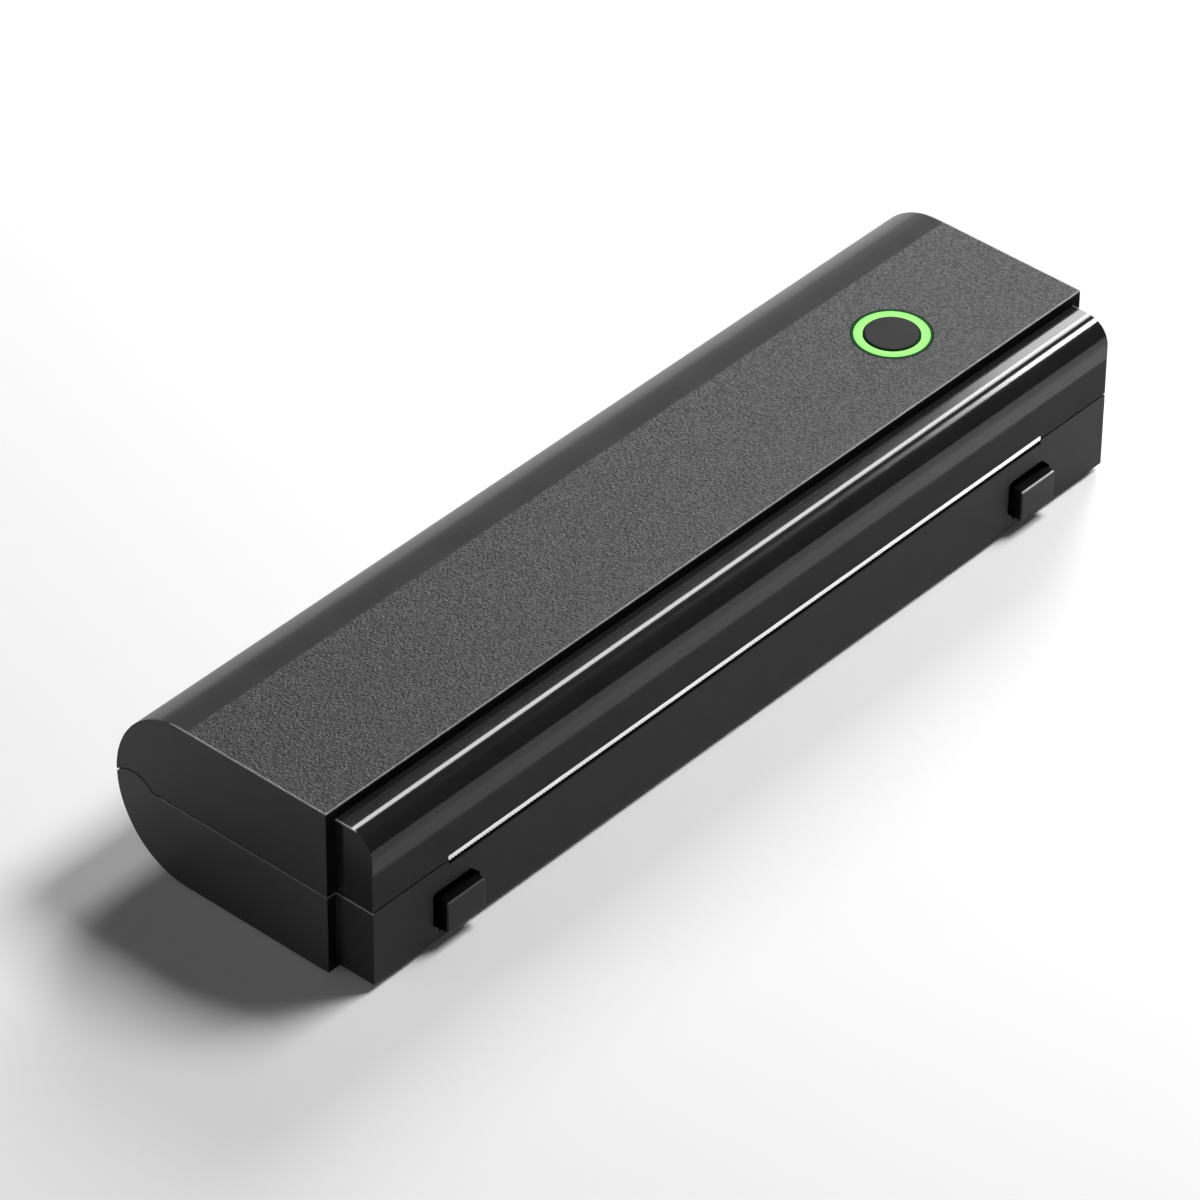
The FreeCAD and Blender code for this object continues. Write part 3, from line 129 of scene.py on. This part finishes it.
class Paint:
    """One material's node tree, with short names for the nodes that the finishes use."""

    def __init__(self, name):
        self.material = bpy.data.materials.new(name)
        self.material.use_nodes = True
        self.tree = self.material.node_tree
        self.tree.nodes.clear()
        self.output = self.add("ShaderNodeOutputMaterial")
        self.shader = self.add("ShaderNodeBsdfPrincipled")
        self.link(self.shader.outputs["BSDF"], self.output.inputs["Surface"])
        self.place = self.add("ShaderNodeTexCoord").outputs["Object"]

    def add(self, kind, **settings):
        node = self.tree.nodes.new(kind)
        for key, value in settings.items():
            setattr(node, key, value)
        return node

    def link(self, source, target):
        self.tree.links.new(source, target)

    def put(self, **values):
        """Sets uniform values on the shader's own sockets."""
        for key, value in values.items():
            socket = self.shader.inputs[key.replace("_", " ")]
            socket.default_value = (*value, 1.0) if isinstance(value, tuple) else value
        return self

    def stretched(self, scale):
        mapping = self.add("ShaderNodeMapping")
        mapping.inputs["Scale"].default_value = scale
        self.link(self.place, mapping.inputs["Vector"])
        return mapping.outputs["Vector"]

    def noise(self, size, detail=2.0, stretch=None):
        """Noise whose features are about size metres across."""
        node = self.add("ShaderNodeTexNoise")
        node.inputs["Scale"].default_value = 1 / size
        node.inputs["Detail"].default_value = detail
        self.link(self.stretched(stretch) if stretch else self.place, node.inputs["Vector"])
        return node.outputs["Fac"]

    def ramp(self, source, stops):
        node = self.add("ShaderNodeValToRGB")
        elements = node.color_ramp.elements
        while len(elements) < len(stops):
            elements.new(0.5)
        for element, (position, colour) in zip(elements, stops):
            element.position = position
            element.color = (*colour, 1.0)
        self.link(source, node.inputs["Fac"])
        return node.outputs["Color"]

    def spread(self, source, low, high, start=0.0, end=1.0, smooth=False):
        """Runs from low to high while source runs from start to end."""
        node = self.add("ShaderNodeMapRange")
        if smooth:
            node.interpolation_type = "SMOOTHSTEP"
        node.inputs["From Min"].default_value = start
        node.inputs["From Max"].default_value = end
        node.inputs["To Min"].default_value = low
        node.inputs["To Max"].default_value = high
        self.link(source, node.inputs["Value"])
        return node.outputs["Result"]

    def times(self, first, second):
        node = self.add("ShaderNodeMath", operation="MULTIPLY")
        self.link(first, node.inputs[0])
        self.link(second, node.inputs[1])
        return node.outputs["Value"]

    def axis(self, letter):
        node = self.add("ShaderNodeSeparateXYZ")
        self.link(self.place, node.inputs["Vector"])
        return node.outputs[letter]

    def off_middle(self):
        """Distance along X from the middle of the machine, on either side."""
        node = self.add("ShaderNodeMath", operation="ABSOLUTE")
        self.link(self.axis("X"), node.inputs[0])
        return node.outputs["Value"]

    def radius(self, middle):
        """Distance from an upright axis through middle."""
        shift = self.add("ShaderNodeVectorMath", operation="SUBTRACT")
        shift.inputs[1].default_value = middle
        flat = self.add("ShaderNodeVectorMath", operation="MULTIPLY")
        flat.inputs[1].default_value = (1.0, 1.0, 0.0)
        length = self.add("ShaderNodeVectorMath", operation="LENGTH")
        self.link(self.place, shift.inputs[0])
        self.link(shift.outputs["Vector"], flat.inputs[0])
        self.link(flat.outputs["Vector"], length.inputs[0])
        return length.outputs["Value"]

    def past(self, source, edge, blur=fade):
        """A mask that is 1 where source lies beyond edge."""
        return self.spread(source, 0.0, 1.0, edge - blur, edge)

    def short_of(self, source, edge, blur=fade):
        """A mask that is 1 where source lies before edge."""
        return self.spread(source, 1.0, 0.0, edge, edge + blur)

    def change(self, socket, value, share):
        """Turns what feeds a socket of the shader into value where the mask share is 1."""
        target = self.shader.inputs[socket]
        coloured = isinstance(value, tuple)
        node = self.add("ShaderNodeMix", data_type="RGBA" if coloured else "FLOAT")
        self.link(share, node.inputs["Factor"])
        self.link(target.links[0].from_socket, node.inputs["A"])
        node.inputs["B"].default_value = (*value, 1.0) if coloured else value
        self.link(node.outputs["Result"], target)
        return self

    def paint_black_shade(self, share):
        """Painted shade: a black that gives back no light of its own, where the mask share is 1."""
        return self.change("Base Color", (0.001, 0.001, 0.001), share)

    def polish_and_highlight(self, share, tone=0.25, roughness=0.2):
        """An edge that handling has worn smooth, with a lighter colour as a painted highlight, where the
        mask share is 1.
        """
        return self.change("Roughness", roughness, share).change("Base Color", (tone, tone, tone), share)

    def colour(self, source, stops):
        self.link(self.ramp(source, stops), self.shader.inputs["Base Color"])
        return self

    def rough(self, source, low, high):
        self.link(self.spread(source, low, high), self.shader.inputs["Roughness"])
        return self

    def bump(self, source, depth, share=None):
        """A bump depth metres deep, laid over the bumps given before it. share is a mask."""
        node = self.add("ShaderNodeBump")
        node.inputs["Strength"].default_value = 1.0
        node.inputs["Distance"].default_value = depth
        self.link(source, node.inputs["Height"])
        if share:
            self.link(share, node.inputs["Strength"])
        normal = self.shader.inputs["Normal"]
        if normal.is_linked:
            self.link(normal.links[0].from_socket, node.inputs["Normal"])
        self.link(node.outputs["Normal"], normal)
        return self


def shades(colour, spread):
    """Two stops a little darker and a little lighter than a colour."""
    dark = tuple(part * (1 - spread) for part in colour)
    light = tuple(part * (1 + spread) for part in colour)
    return [(0.3, dark), (0.7, light)]


def moulded(name, colour, low, high, grain=0.4 * MM, depth=0.01 * MM, spread=0.12,
            cloud=12 * MM, sheen=4 * MM):
    """A moulded plastic with a fine texture from the mould, and a roughness between low and high.

    Its colour changes over clouds and its roughness over patches of sheen, whose sizes are given.
    """
    paint = Paint(name)
    paint.colour(paint.noise(cloud, detail=3.0), shades(colour, spread))
    paint.rough(paint.noise(sheen, detail=3.0), low, high)
    paint.bump(paint.noise(grain, detail=1.0), depth)
    return paint


def metal(name, colour, low, high, stretch=(1.0, 1.0, 1.0), grain=0.6 * MM, depth=0.004 * MM):
    """A metal with a roughness between low and high.

    Its fine lines run along the axis that stretch makes long.
    """
    paint = Paint(name)
    lines = paint.noise(grain, detail=3.0, stretch=stretch)
    paint.colour(lines, shades(colour, 0.12))
    paint.rough(lines, low, high)
    paint.bump(lines, depth)
    return paint.put(Metallic=1.0)


# Finishes, one for each of the model's slots, and two for pieces that differ from their slot

def satin(name):
    """The housing's charcoal plastic."""
    paint = moulded(name, (0.027, 0.027, 0.0278), 0.4, 0.48, grain=0.5 * MM, depth=0.004 * MM)
    return paint.put(Specular_IOR_Level=0.18)


def lid_paint():
    """The housing's plastic, with a spark-eroded grain on the flat top and a matt margin behind it."""
    paint = satin("housing_top")
    across, up, off = paint.axis("Y"), paint.axis("Z"), paint.off_middle()

    level = paint.spread(up, 0.0, 1.0, top_level - top_fade, top_level, smooth=True)
    flat = paint.times(level, paint.short_of(across, grain_back, grain_fade))
    paint.bump(paint.noise(grain_size), grain_depth, share=flat)
    speckle = paint.spread(paint.noise(speckle_size, detail=1.0), 0.0, 1.0, *speckle_shares, smooth=True)
    paint.change("Base Color", (0.02, 0.02, 0.0206), flat)
    paint.change("Base Color", (0.062, 0.062, 0.063), paint.times(flat, speckle))
    # Painted light: the lid's end faces are lighter than its top.
    paint.change("Base Color", (0.035, 0.035, 0.036), paint.past(off, body_half, crisp))

    # Painted shade: a narrow dark green band on the lid round the light ring.
    reach = paint.radius(ring_middle)
    groove_shade = paint.times(paint.past(reach, ring_edge), paint.short_of(reach, ring_edge + ring_shade_width))
    paint.change("Base Color", (0.002, 0.03, 0.004), groove_shade).change("Roughness", 1.0, groove_shade)

    between_ends = paint.short_of(off, body_half - edge_band)
    margin = paint.past(across, grain_back + grain_fade, grain_fade)
    paint.change("Roughness", 0.72, paint.times(margin, between_ends))
    rear = paint.spread(across, 0.0, 1.0, margin_back, margin_back + margin_fade, smooth=True)
    paint.change("Roughness", 0.34, paint.times(rear, between_ends))

    # Painted shade: the front wall, seen in the gap behind the nose, is black and matt.
    wall = paint.short_of(across, wall_front, crisp)
    paint.paint_black_shade(wall).change("Roughness", 1.0, wall)
    # The front and end edges of the top are worn, with a lighter colour as a painted highlight.
    high = paint.past(up, top_edge - edge_band)
    paint.polish_and_highlight(paint.times(high, paint.short_of(across, lip_front + edge_band)))
    return paint.polish_and_highlight(paint.times(high, paint.past(off, body_half - edge_band)))


def base_paint():
    """The housing's plastic, darker on the lower nose, with painted light on its ends, painted black shade
    beside the nose, and a worn rim with a painted highlight.
    """
    paint = satin("housing")
    across, up, off = paint.axis("Y"), paint.axis("Z"), paint.off_middle()

    wall = paint.short_of(across, wall_front, crisp)
    # Painted light: the end faces are lighter than the rest of the base.
    paint.change("Base Color", (0.05, 0.05, 0.051), paint.past(off, body_half, crisp))
    paint.change("Base Color", (0.0105, 0.0105, 0.011), wall)
    # Painted light: the end faces of the lower nose are lighter than its front.
    nose_side = paint.past(off, nose_half, crisp)
    paint.change("Base Color", (0.022, 0.022, 0.0225), paint.times(wall, nose_side))
    # Painted shade: the front wall beside the nose's ends is black.
    beyond = paint.past(off, nose_half + nose_room, crisp)
    paint.paint_black_shade(paint.times(wall, beyond))

    # The rim at the ends and at the nose's ends is worn, with a lighter colour as a painted highlight.
    rim = paint.times(paint.past(up, base_rim - edge_band), paint.short_of(across, ear_front))
    paint.polish_and_highlight(paint.times(rim, paint.past(off, body_half - edge_band)), tone=0.14)
    nose_end = paint.times(wall, paint.past(off, nose_half - edge_band))
    return paint.polish_and_highlight(paint.times(rim, nose_end))


def nose_paint():
    """The same plastic on the upper nose cover, polished above its dull front face."""
    paint = moulded("nose", (0.0145, 0.0145, 0.015), 0.1, 0.14, grain=0.5 * MM, depth=0.0015 * MM)
    paint.put(Specular_IOR_Level=0.32)
    up = paint.axis("Z")
    front = paint.short_of(paint.axis("Y"), nose_front + edge_band)
    paint.change("Roughness", 0.75, paint.times(front, paint.short_of(up, round_start, round_fade)))
    # The top corners at the nose's ends are worn, with a lighter colour as a painted highlight.
    high = paint.past(up, nose_top - edge_band)
    return paint.polish_and_highlight(paint.times(high, paint.past(paint.off_middle(), nose_half - edge_band)))


def button_paint():
    """The power button: a plain dark disc with a line of painted dark green shade round its edge."""
    paint = moulded("button_plastic", (0.012, 0.012, 0.0125), 0.36, 0.46, grain=0.6 * MM, depth=0.006 * MM)
    # Painted shade: a dark green line round the disc's edge, beside the ring.
    rim = paint.past(paint.radius(ring_middle), disc_rim, disc_fade)
    paint.change("Base Color", (0.002, 0.022, 0.003), rim).change("Roughness", 0.6, rim)
    return paint.put(Specular_IOR_Level=0.042)


def latch_paint():
    """A release button: a satin front face, worn along its upper edge with a painted highlight, on dull
    black sides that are painted shade.
    """
    paint = moulded("latch_plastic", (0.012, 0.012, 0.0125), 0.36, 0.44, depth=0.004 * MM)
    paint.put(Specular_IOR_Level=0.22)
    across = paint.axis("Y")
    front = button_front + button_edge
    # Painted shade: the sides behind the front face are black.
    paint.paint_black_shade(paint.past(across, front + fade))
    # The upper edge is worn, with a lighter colour as a painted highlight that grows toward +X.
    edge = paint.times(paint.short_of(across, front), paint.past(paint.axis("Z"), button_top - edge_band))
    painted_highlight_side = paint.spread(paint.axis("X"), 0.15, 1.0, -nose_half / 2, nose_half / 2)
    return paint.polish_and_highlight(paint.times(edge, painted_highlight_side), tone=0.4)


def light_paint():
    """A green light pipe, bright across its ring and dark green along its two edges."""
    paint = Paint("light")
    across = paint.spread(paint.radius(ring_middle), 0.0, 1.0, ring_bore, ring_edge)
    dark = (0.003, 0.024, 0.004)
    inner, middle, outer = (0.44, 1.0, 0.29), (0.37, 0.96, 0.25), (0.33, 0.92, 0.23)
    glow = [(0.06, dark), (0.11, inner), (0.45, middle), (0.77, outer), (0.84, dark)]
    body = [(0.06, dark), (0.11, (0.06, 0.3, 0.04)), (0.77, (0.05, 0.26, 0.03)), (0.84, dark)]
    paint.link(paint.ramp(across, glow), paint.shader.inputs["Emission Color"])
    paint.colour(across, body)
    paint.rough(paint.noise(size=2 * MM), 0.35, 0.45)
    return paint.put(Emission_Strength=0.95, Specular_IOR_Level=0.02)


def board_paint():
    """A green board with lighter tracks under its mask."""
    paint = Paint("circuit_board")
    tracks = paint.add("ShaderNodeTexBrick")
    tracks.inputs["Scale"].default_value = 160.0
    tracks.inputs["Mortar Size"].default_value = 0.035
    tracks.inputs["Color1"].default_value = (0.012, 0.09, 0.035, 1.0)
    tracks.inputs["Color2"].default_value = (0.01, 0.075, 0.03, 1.0)
    tracks.inputs["Mortar"].default_value = (0.03, 0.17, 0.06, 1.0)
    paint.link(paint.place, tracks.inputs["Vector"])
    paint.link(tracks.outputs["Color"], paint.shader.inputs["Base Color"])
    paint.rough(paint.noise(size=3 * MM), 0.28, 0.42)
    return paint.bump(tracks.outputs["Fac"], 0.02 * MM)


def ribbon_paint():
    """A flat cable: white film with the conductors showing through."""
    paint = Paint("ribbon")
    wave = paint.add("ShaderNodeTexWave")
    wave.inputs["Scale"].default_value = 320.0
    paint.link(paint.place, wave.inputs["Vector"])
    paint.colour(wave.outputs["Fac"], [(0.35, (0.62, 0.63, 0.64)), (0.65, (0.32, 0.33, 0.35))])
    paint.rough(paint.noise(size=4 * MM), 0.35, 0.45)
    return paint.bump(wave.outputs["Fac"], 0.03 * MM)


def heater_paint():
    """A glazed ceramic strip with the dark line of its dots under the roller."""
    paint = moulded("heater", (0.5, 0.47, 0.42), 0.15, 0.25, depth=0.003 * MM, spread=0.08)
    across = paint.axis("Y")
    ahead = paint.short_of(across, print_line + dots_half)
    line = paint.times(ahead, paint.past(across, print_line - dots_half))
    return paint.change("Base Color", (0.05, 0.03, 0.02), line)


# Stretches that make the fine lines of three metals run along X.
brushed = (0.08, 1.0, 1.0)
ground = (0.05, 1.0, 1.0)
extruded = (0.06, 1.0, 1.0)

finishes = {
    "housing": base_paint(),
    "nose": nose_paint(),
    "button_plastic": button_paint(),
    "inner_plastic": moulded("inner_plastic", (0.03, 0.03, 0.032), 0.45, 0.6),
    "steel": metal("steel", (0.5, 0.5, 0.5), 0.28, 0.42, brushed),
    "screw_steel": metal("screw_steel", (0.42, 0.42, 0.43), 0.3, 0.45),
    "tear_steel": metal("tear_steel", (0.95, 0.95, 0.95), 0.2, 0.3, ground),
    "motor_case": metal("motor_case", (0.55, 0.55, 0.54), 0.32, 0.46),
    "light": light_paint(),
    "rubber": moulded("rubber", (0.02, 0.02, 0.02), 0.7, 0.85, grain=0.3 * MM, depth=0.02 * MM),
    "gear_plastic": moulded("gear_plastic", (0.72, 0.71, 0.66), 0.4, 0.5, depth=0.006 * MM, spread=0.04),
    "head_aluminium": metal("head_aluminium", (0.6, 0.61, 0.62), 0.3, 0.42, extruded),
    "heater": heater_paint(),
    "chip": moulded("chip", (0.014, 0.014, 0.015), 0.45, 0.6, grain=0.2 * MM, depth=0.006 * MM),
    "circuit_board": board_paint(),
    "battery_wrap": moulded("battery_wrap", (0.05, 0.09, 0.2), 0.25, 0.4, grain=2 * MM, depth=0.03 * MM),
    "ribbon": ribbon_paint(),
}

for node in nodes.values():
    for slot in node.material_slots:
        slot.material = finishes[slot.material.name.split(".")[0]].material

release_buttons = ("latch_button_left", "latch_button_right")
nodes["top_cover"].material_slots[0].material = lid_paint().material
release = latch_paint().material
for name in release_buttons:
    nodes[name].material_slots[0].material = release


# Rounded edges

def soften(name, width, angle=32.0, segments=2, level=0.5):
    """Rounds the edges of a moulded node that are sharper than angle, after joining its level faces.

    Both angles are in degrees.
    """
    modifiers = nodes[name].modifiers
    weld = modifiers.new("weld", "WELD")
    weld.merge_threshold = weld_reach
    flat = modifiers.new("flat", "DECIMATE")
    flat.decimate_type = "DISSOLVE"
    flat.angle_limit = math.radians(level)
    bevel = modifiers.new("edges", "BEVEL")
    bevel.width = width
    bevel.segments = segments
    bevel.limit_method = "ANGLE"
    bevel.angle_limit = math.radians(angle)
    modifiers.new("normals", "WEIGHTED_NORMAL")


for name in ("top_cover", "base_shell", "front_cover"):
    soften(name, shell_round)
for name in release_buttons:
    soften(name, button_round)


# Pieces in place of plainer solids, and the soft strips on the ears

def add_piece(name, shape, body, slot, node=None):
    """A mesh piece that rides on a body with the finish of a slot, and may stand in place of a node."""
    mesh = bpy.data.meshes.new(name)
    shape.to_mesh(mesh)
    shape.free()
    made = bpy.data.objects.new(name, mesh)
    bpy.context.scene.collection.objects.link(made)
    mesh.materials.append(finishes[slot].material)
    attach(made, body)
    if node:
        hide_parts(node)


def skin(shape, rings):
    """Faces between each ring of vertices and the next."""
    for near, far in zip(rings, rings[1:]):
        for step in range(len(near)):
            after = (step + 1) % len(near)
            shape.faces.new((near[step], near[after], far[after], far[step]))


def prism(shape, outline, shift):
    """A closed solid between an outline and the same outline shifted."""
    front = [shape.verts.new(corner) for corner in outline]
    back = [shape.verts.new(Vector(corner) + Vector(shift)) for corner in outline]
    shape.faces.new(front)
    shape.faces.new(back[::-1])
    skin(shape, [front, back])


def tear_comb(pitch=1.07 * MM, tooth=0.4 * MM, lean=0.08 * MM, proud=0.32 * MM, drop=0.3 * MM):
    """The toothed strip, with its teeth pointing down into the paper exit and a gap over its top."""
    low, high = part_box("tear_bar")
    count = round((high[0] - low[0]) / pitch)
    pitch = (high[0] - low[0]) / count
    foot, root, crest = low[2], low[2] + tooth, high[2] - drop
    front = low[1] - proud
    shape = bmesh.new()
    teeth = []
    for step in range(count):
        teeth.append((low[0] + step * pitch, front, root))
        teeth.append((low[0] + (step + 0.5) * pitch, front, foot))
    ends = [(high[0], front, root), (high[0], front + lean, crest), (low[0], front + lean, crest)]
    prism(shape, teeth + ends, (0, high[1] - front - lean, 0))
    bmesh.ops.recalc_face_normals(shape, faces=shape.faces)
    return shape


def ear_strips(low=7.22 * MM, high=7.5 * MM, start=48, end=110, steps=16):
    """A soft strip on the round top of each of the base's end walls, which closes the gap to the lid.

    It lies between two radii round the hinge's axis, and between two angles in degrees.
    """
    shape = bmesh.new()
    arc = [math.radians(start + (end - start) * step / steps) for step in range(steps + 1)]
    turns = [(low, angle) for angle in arc] + [(high, angle) for angle in arc[::-1]]
    for side in (-1, 1):
        x = side * (body_half - edge_band)
        outline = [(x, hinge_y + r * math.cos(a), hinge_z + r * math.sin(a)) for r, a in turns]
        prism(shape, outline, (-side * ear_width, 0, 0))
    bmesh.ops.recalc_face_normals(shape, faces=shape.faces)
    return shape


def islands(node):
    """The boxes of a node's separate solids, as pairs of corners."""
    shape = bmesh.new()
    shape.from_mesh(nodes[node].data)
    bmesh.ops.remove_doubles(shape, verts=shape.verts, dist=weld_reach)
    left = set(shape.verts)
    boxes = []
    while left:
        group = [left.pop()]
        for vertex in group:
            near = {edge.other_vert(vertex) for edge in vertex.link_edges} & left
            left -= near
            group += near
        corners = [[pick(vertex.co[axis] for vertex in group) for axis in range(3)] for pick in (min, max)]
        boxes.append([Vector(corner) for corner in corners])
    shape.free()
    return boxes


def circle(shape, place, turn, radius, drop, sides=24):
    """A ring of vertices round a screw's axis, drop below the top of its head."""
    angles = [2 * math.pi * step / sides for step in range(sides)]
    spots = [Vector((radius * math.cos(a), radius * math.sin(a), drop)) for a in angles]
    return [shape.verts.new(place + turn @ spot) for spot in spots]


def cross(shape, place, turn, arm, width, drop):
    """The twelve corners of a cross recess, drop below the top of the head."""
    corners = ((arm, -width, drop), (arm, width, drop), (width, width, drop))
    spots = []
    for quarter in range(4):
        spin = Matrix.Rotation(quarter * math.pi / 2, 3, "Z")
        spots += [spin @ Vector(corner) for corner in corners]
    return [shape.verts.new(place + turn @ spot) for spot in spots]


# The pan head's profile: shares of its radius, each with the share of its height below the top.
pan_shares = ((0.72, 0.0), (0.88, 0.14), (0.97, 0.36), (1.0, 0.62), (1.0, 1.0))

# The cross recess: its depth as a share of the head's height, and the reach and half width of its arms as
# shares of the head's radius, at its mouth and at its foot.
recess_share = 0.7
mouth_shares = (0.58, 0.15)
foot_shares = (0.34, 0.11)

# The radius of the shank's tip, as a share of the shank's own.
tip_share = 0.3


def screw(shape, top, toward, length, radius=2.2 * MM, head=1.2 * MM, shank=1.2 * MM):
    """A pan-head screw with a cross recess, from the middle of its head's top along toward."""
    turn = Vector((0, 0, 1)).rotation_difference(toward).to_matrix()
    rings = [circle(shape, top, turn, share * radius, drop * head) for share, drop in pan_shares]
    rings += [circle(shape, top, turn, shank, drop) for drop in (head, length - shank)]
    rings.append(circle(shape, top, turn, tip_share * shank, length))
    skin(shape, rings)
    shape.faces.new(rings[-1])
    mouth = cross(shape, top, turn, *(share * radius for share in mouth_shares), 0.0)
    foot = cross(shape, top, turn, *(share * radius for share in foot_shares), recess_share * head)
    skin(shape, [mouth, foot])
    shape.faces.new(foot)
    loops = []
    for loop in (rings[0], mouth):
        loops += [shape.edges.get((a, b)) for a, b in zip(loop, loop[1:] + loop[:1])]
    bmesh.ops.triangle_fill(shape, edges=loops, use_beauty=True)


def screws(node, body, toward):
    """Every screw of a node as one piece. Toward is the way that they point."""
    shape = bmesh.new()
    toward = Vector(toward)
    for low, high in islands(node):
        middle = (low + high) / 2
        reach = abs((high - low).dot(toward))
        screw(shape, middle - toward * reach / 2, toward, reach)
    bmesh.ops.recalc_face_normals(shape, faces=shape.faces)
    add_piece(node.replace("screws", "cross_screws"), shape, body, "screw_steel", node)


add_piece("tear_comb", tear_comb(), "lid", "tear_steel", "tear_bar")
add_piece("ear_strips", ear_strips(), "base", "rubber")
for node in ("deck_screws", "frame_screws", "board_screws"):
    screws(node, "base", (0, 0, -1))
for node in ("liner_screws", "bracket_screws", "switch_screws"):
    screws(node, "lid", (0, 0, 1))
screws("cover_screws", "lid", (0, -1, 0))


# Stage and light

def floor_paint(lift=0.03):
    """A pale matt floor, which looks a little brighter, by lift, than the light that it gives back."""
    paint = Paint("floor")
    tone = paint.noise(size=0.4)
    paint.colour(tone, [(0.0, (0.88, 0.88, 0.88)), (1.0, (0.9, 0.9, 0.9))])
    paint.rough(tone, 0.85, 0.95)
    path = paint.add("ShaderNodeLightPath")
    either = paint.add("ShaderNodeMath", operation="MAXIMUM")
    seen = paint.add("ShaderNodeMath", operation="MAXIMUM")
    paint.link(path.outputs["Is Camera Ray"], either.inputs[0])
    paint.link(path.outputs["Is Glossy Ray"], either.inputs[1])
    paint.link(either.outputs["Value"], seen.inputs[0])
    paint.link(path.outputs["Is Transmission Ray"], seen.inputs[1])
    paint.link(paint.spread(seen.outputs["Value"], 0.0, lift), paint.shader.inputs["Emission Strength"])
    return paint.put(Emission_Color=(1.0, 1.0, 1.0), Specular_IOR_Level=0.0)


def floor(reach=12.0):
    mesh = bpy.data.meshes.new("floor")
    corners = [(-reach, -reach, 0), (reach, -reach, 0), (reach, reach, 0), (-reach, reach, 0)]
    mesh.from_pydata(corners, [], [(0, 1, 2, 3)])
    piece = bpy.data.objects.new("floor", mesh)
    bpy.context.scene.collection.objects.link(piece)
    mesh.materials.append(floor_paint().material)


def softbox(name, place, aim, size, power, lights=True, mirrored=True):
    """A lit panel with its first side along X, as near as its aim lets it.

    One that isn't mirrored leaves no reflection of itself, and one that doesn't light shows only as a
    reflection.
    """
    light = bpy.data.lights.new(name, "AREA")
    light.shape = "RECTANGLE"
    light.size, light.size_y = size
    light.energy = power
    lamp = bpy.data.objects.new(name, light)
    back = (Vector(place) - Vector(aim)).normalized()
    along = (Vector((1, 0, 0)) - back * back.x).normalized()
    lamp.location = place
    lamp.rotation_euler = Matrix((along, back.cross(along), back)).transposed().to_euler()
    lamp.visible_diffuse = lights
    lamp.visible_glossy = mirrored
    bpy.context.scene.collection.objects.link(lamp)


def surroundings(level):
    """An even grey world."""
    world = bpy.data.worlds.new("studio")
    world.use_nodes = True
    background = world.node_tree.nodes["Background"]
    background.inputs["Color"].default_value = (level, level, level, 1.0)
    background.inputs["Strength"].default_value = 1.0
    bpy.context.scene.world = world


floor()

# These light the machine and the floor.
softbox("key", place=(0.67, -0.29, 1.07), aim=(0, 0, 0), size=(0.5, 0.5), power=15.6, mirrored=False)
softbox("side", place=(1.05, 0.50, 0.72), aim=(0.1, 0, 0), size=(0.5, 0.5), power=12.2, mirrored=False)
softbox("low", place=(-1.20, 0.70, 0.28), aim=(0, 0, 0), size=(0.4, 0.3), power=2.2)

# These make the lines of light on the nose and the sheen on the top, the round back and the left end.
softbox("panel", place=(1.12, 0.58, 0.75), aim=(1.12, 0, 0.05), size=(0.5, 0.45), power=8.6, lights=False)
softbox("strip", place=(0.79, 0.42, 0.98), aim=(0.79, 0, 0.05), size=(0.65, 0.3), power=11.2, lights=False)
softbox("kicker", place=(1.04, -0.2, 0.98), aim=(1.04, 0, 0.05), size=(0.28, 0.28), power=16, lights=False)
softbox("rim", place=(-0.73, 0.62, 0.70), aim=(-0.13, 0, 0.05), size=(0.5, 0.5), power=7.0, lights=False)
softbox("back", place=(0.75, 1.00, 0.10), aim=(0.1, 0, 0.05), size=(1.0, 0.18), power=1.6, lights=False)

surroundings(0.02)


# Camera

def camera():
    data = bpy.data.cameras.new("camera")
    data.lens = camera_lens
    data.sensor_width = camera_sensor
    data.clip_end = camera_reach
    viewer = bpy.data.objects.new("camera", data)
    turn = Vector(camera_forward).to_track_quat("-Z", "Y").to_matrix().to_4x4()
    turn = turn @ Matrix.Rotation(math.radians(camera_roll), 4, "Z")
    viewer.matrix_world = Matrix.Translation(camera_place) @ turn
    bpy.context.scene.collection.objects.link(viewer)
    bpy.context.scene.camera = viewer


camera()
bpy.context.scene.view_settings.view_transform = "Standard"
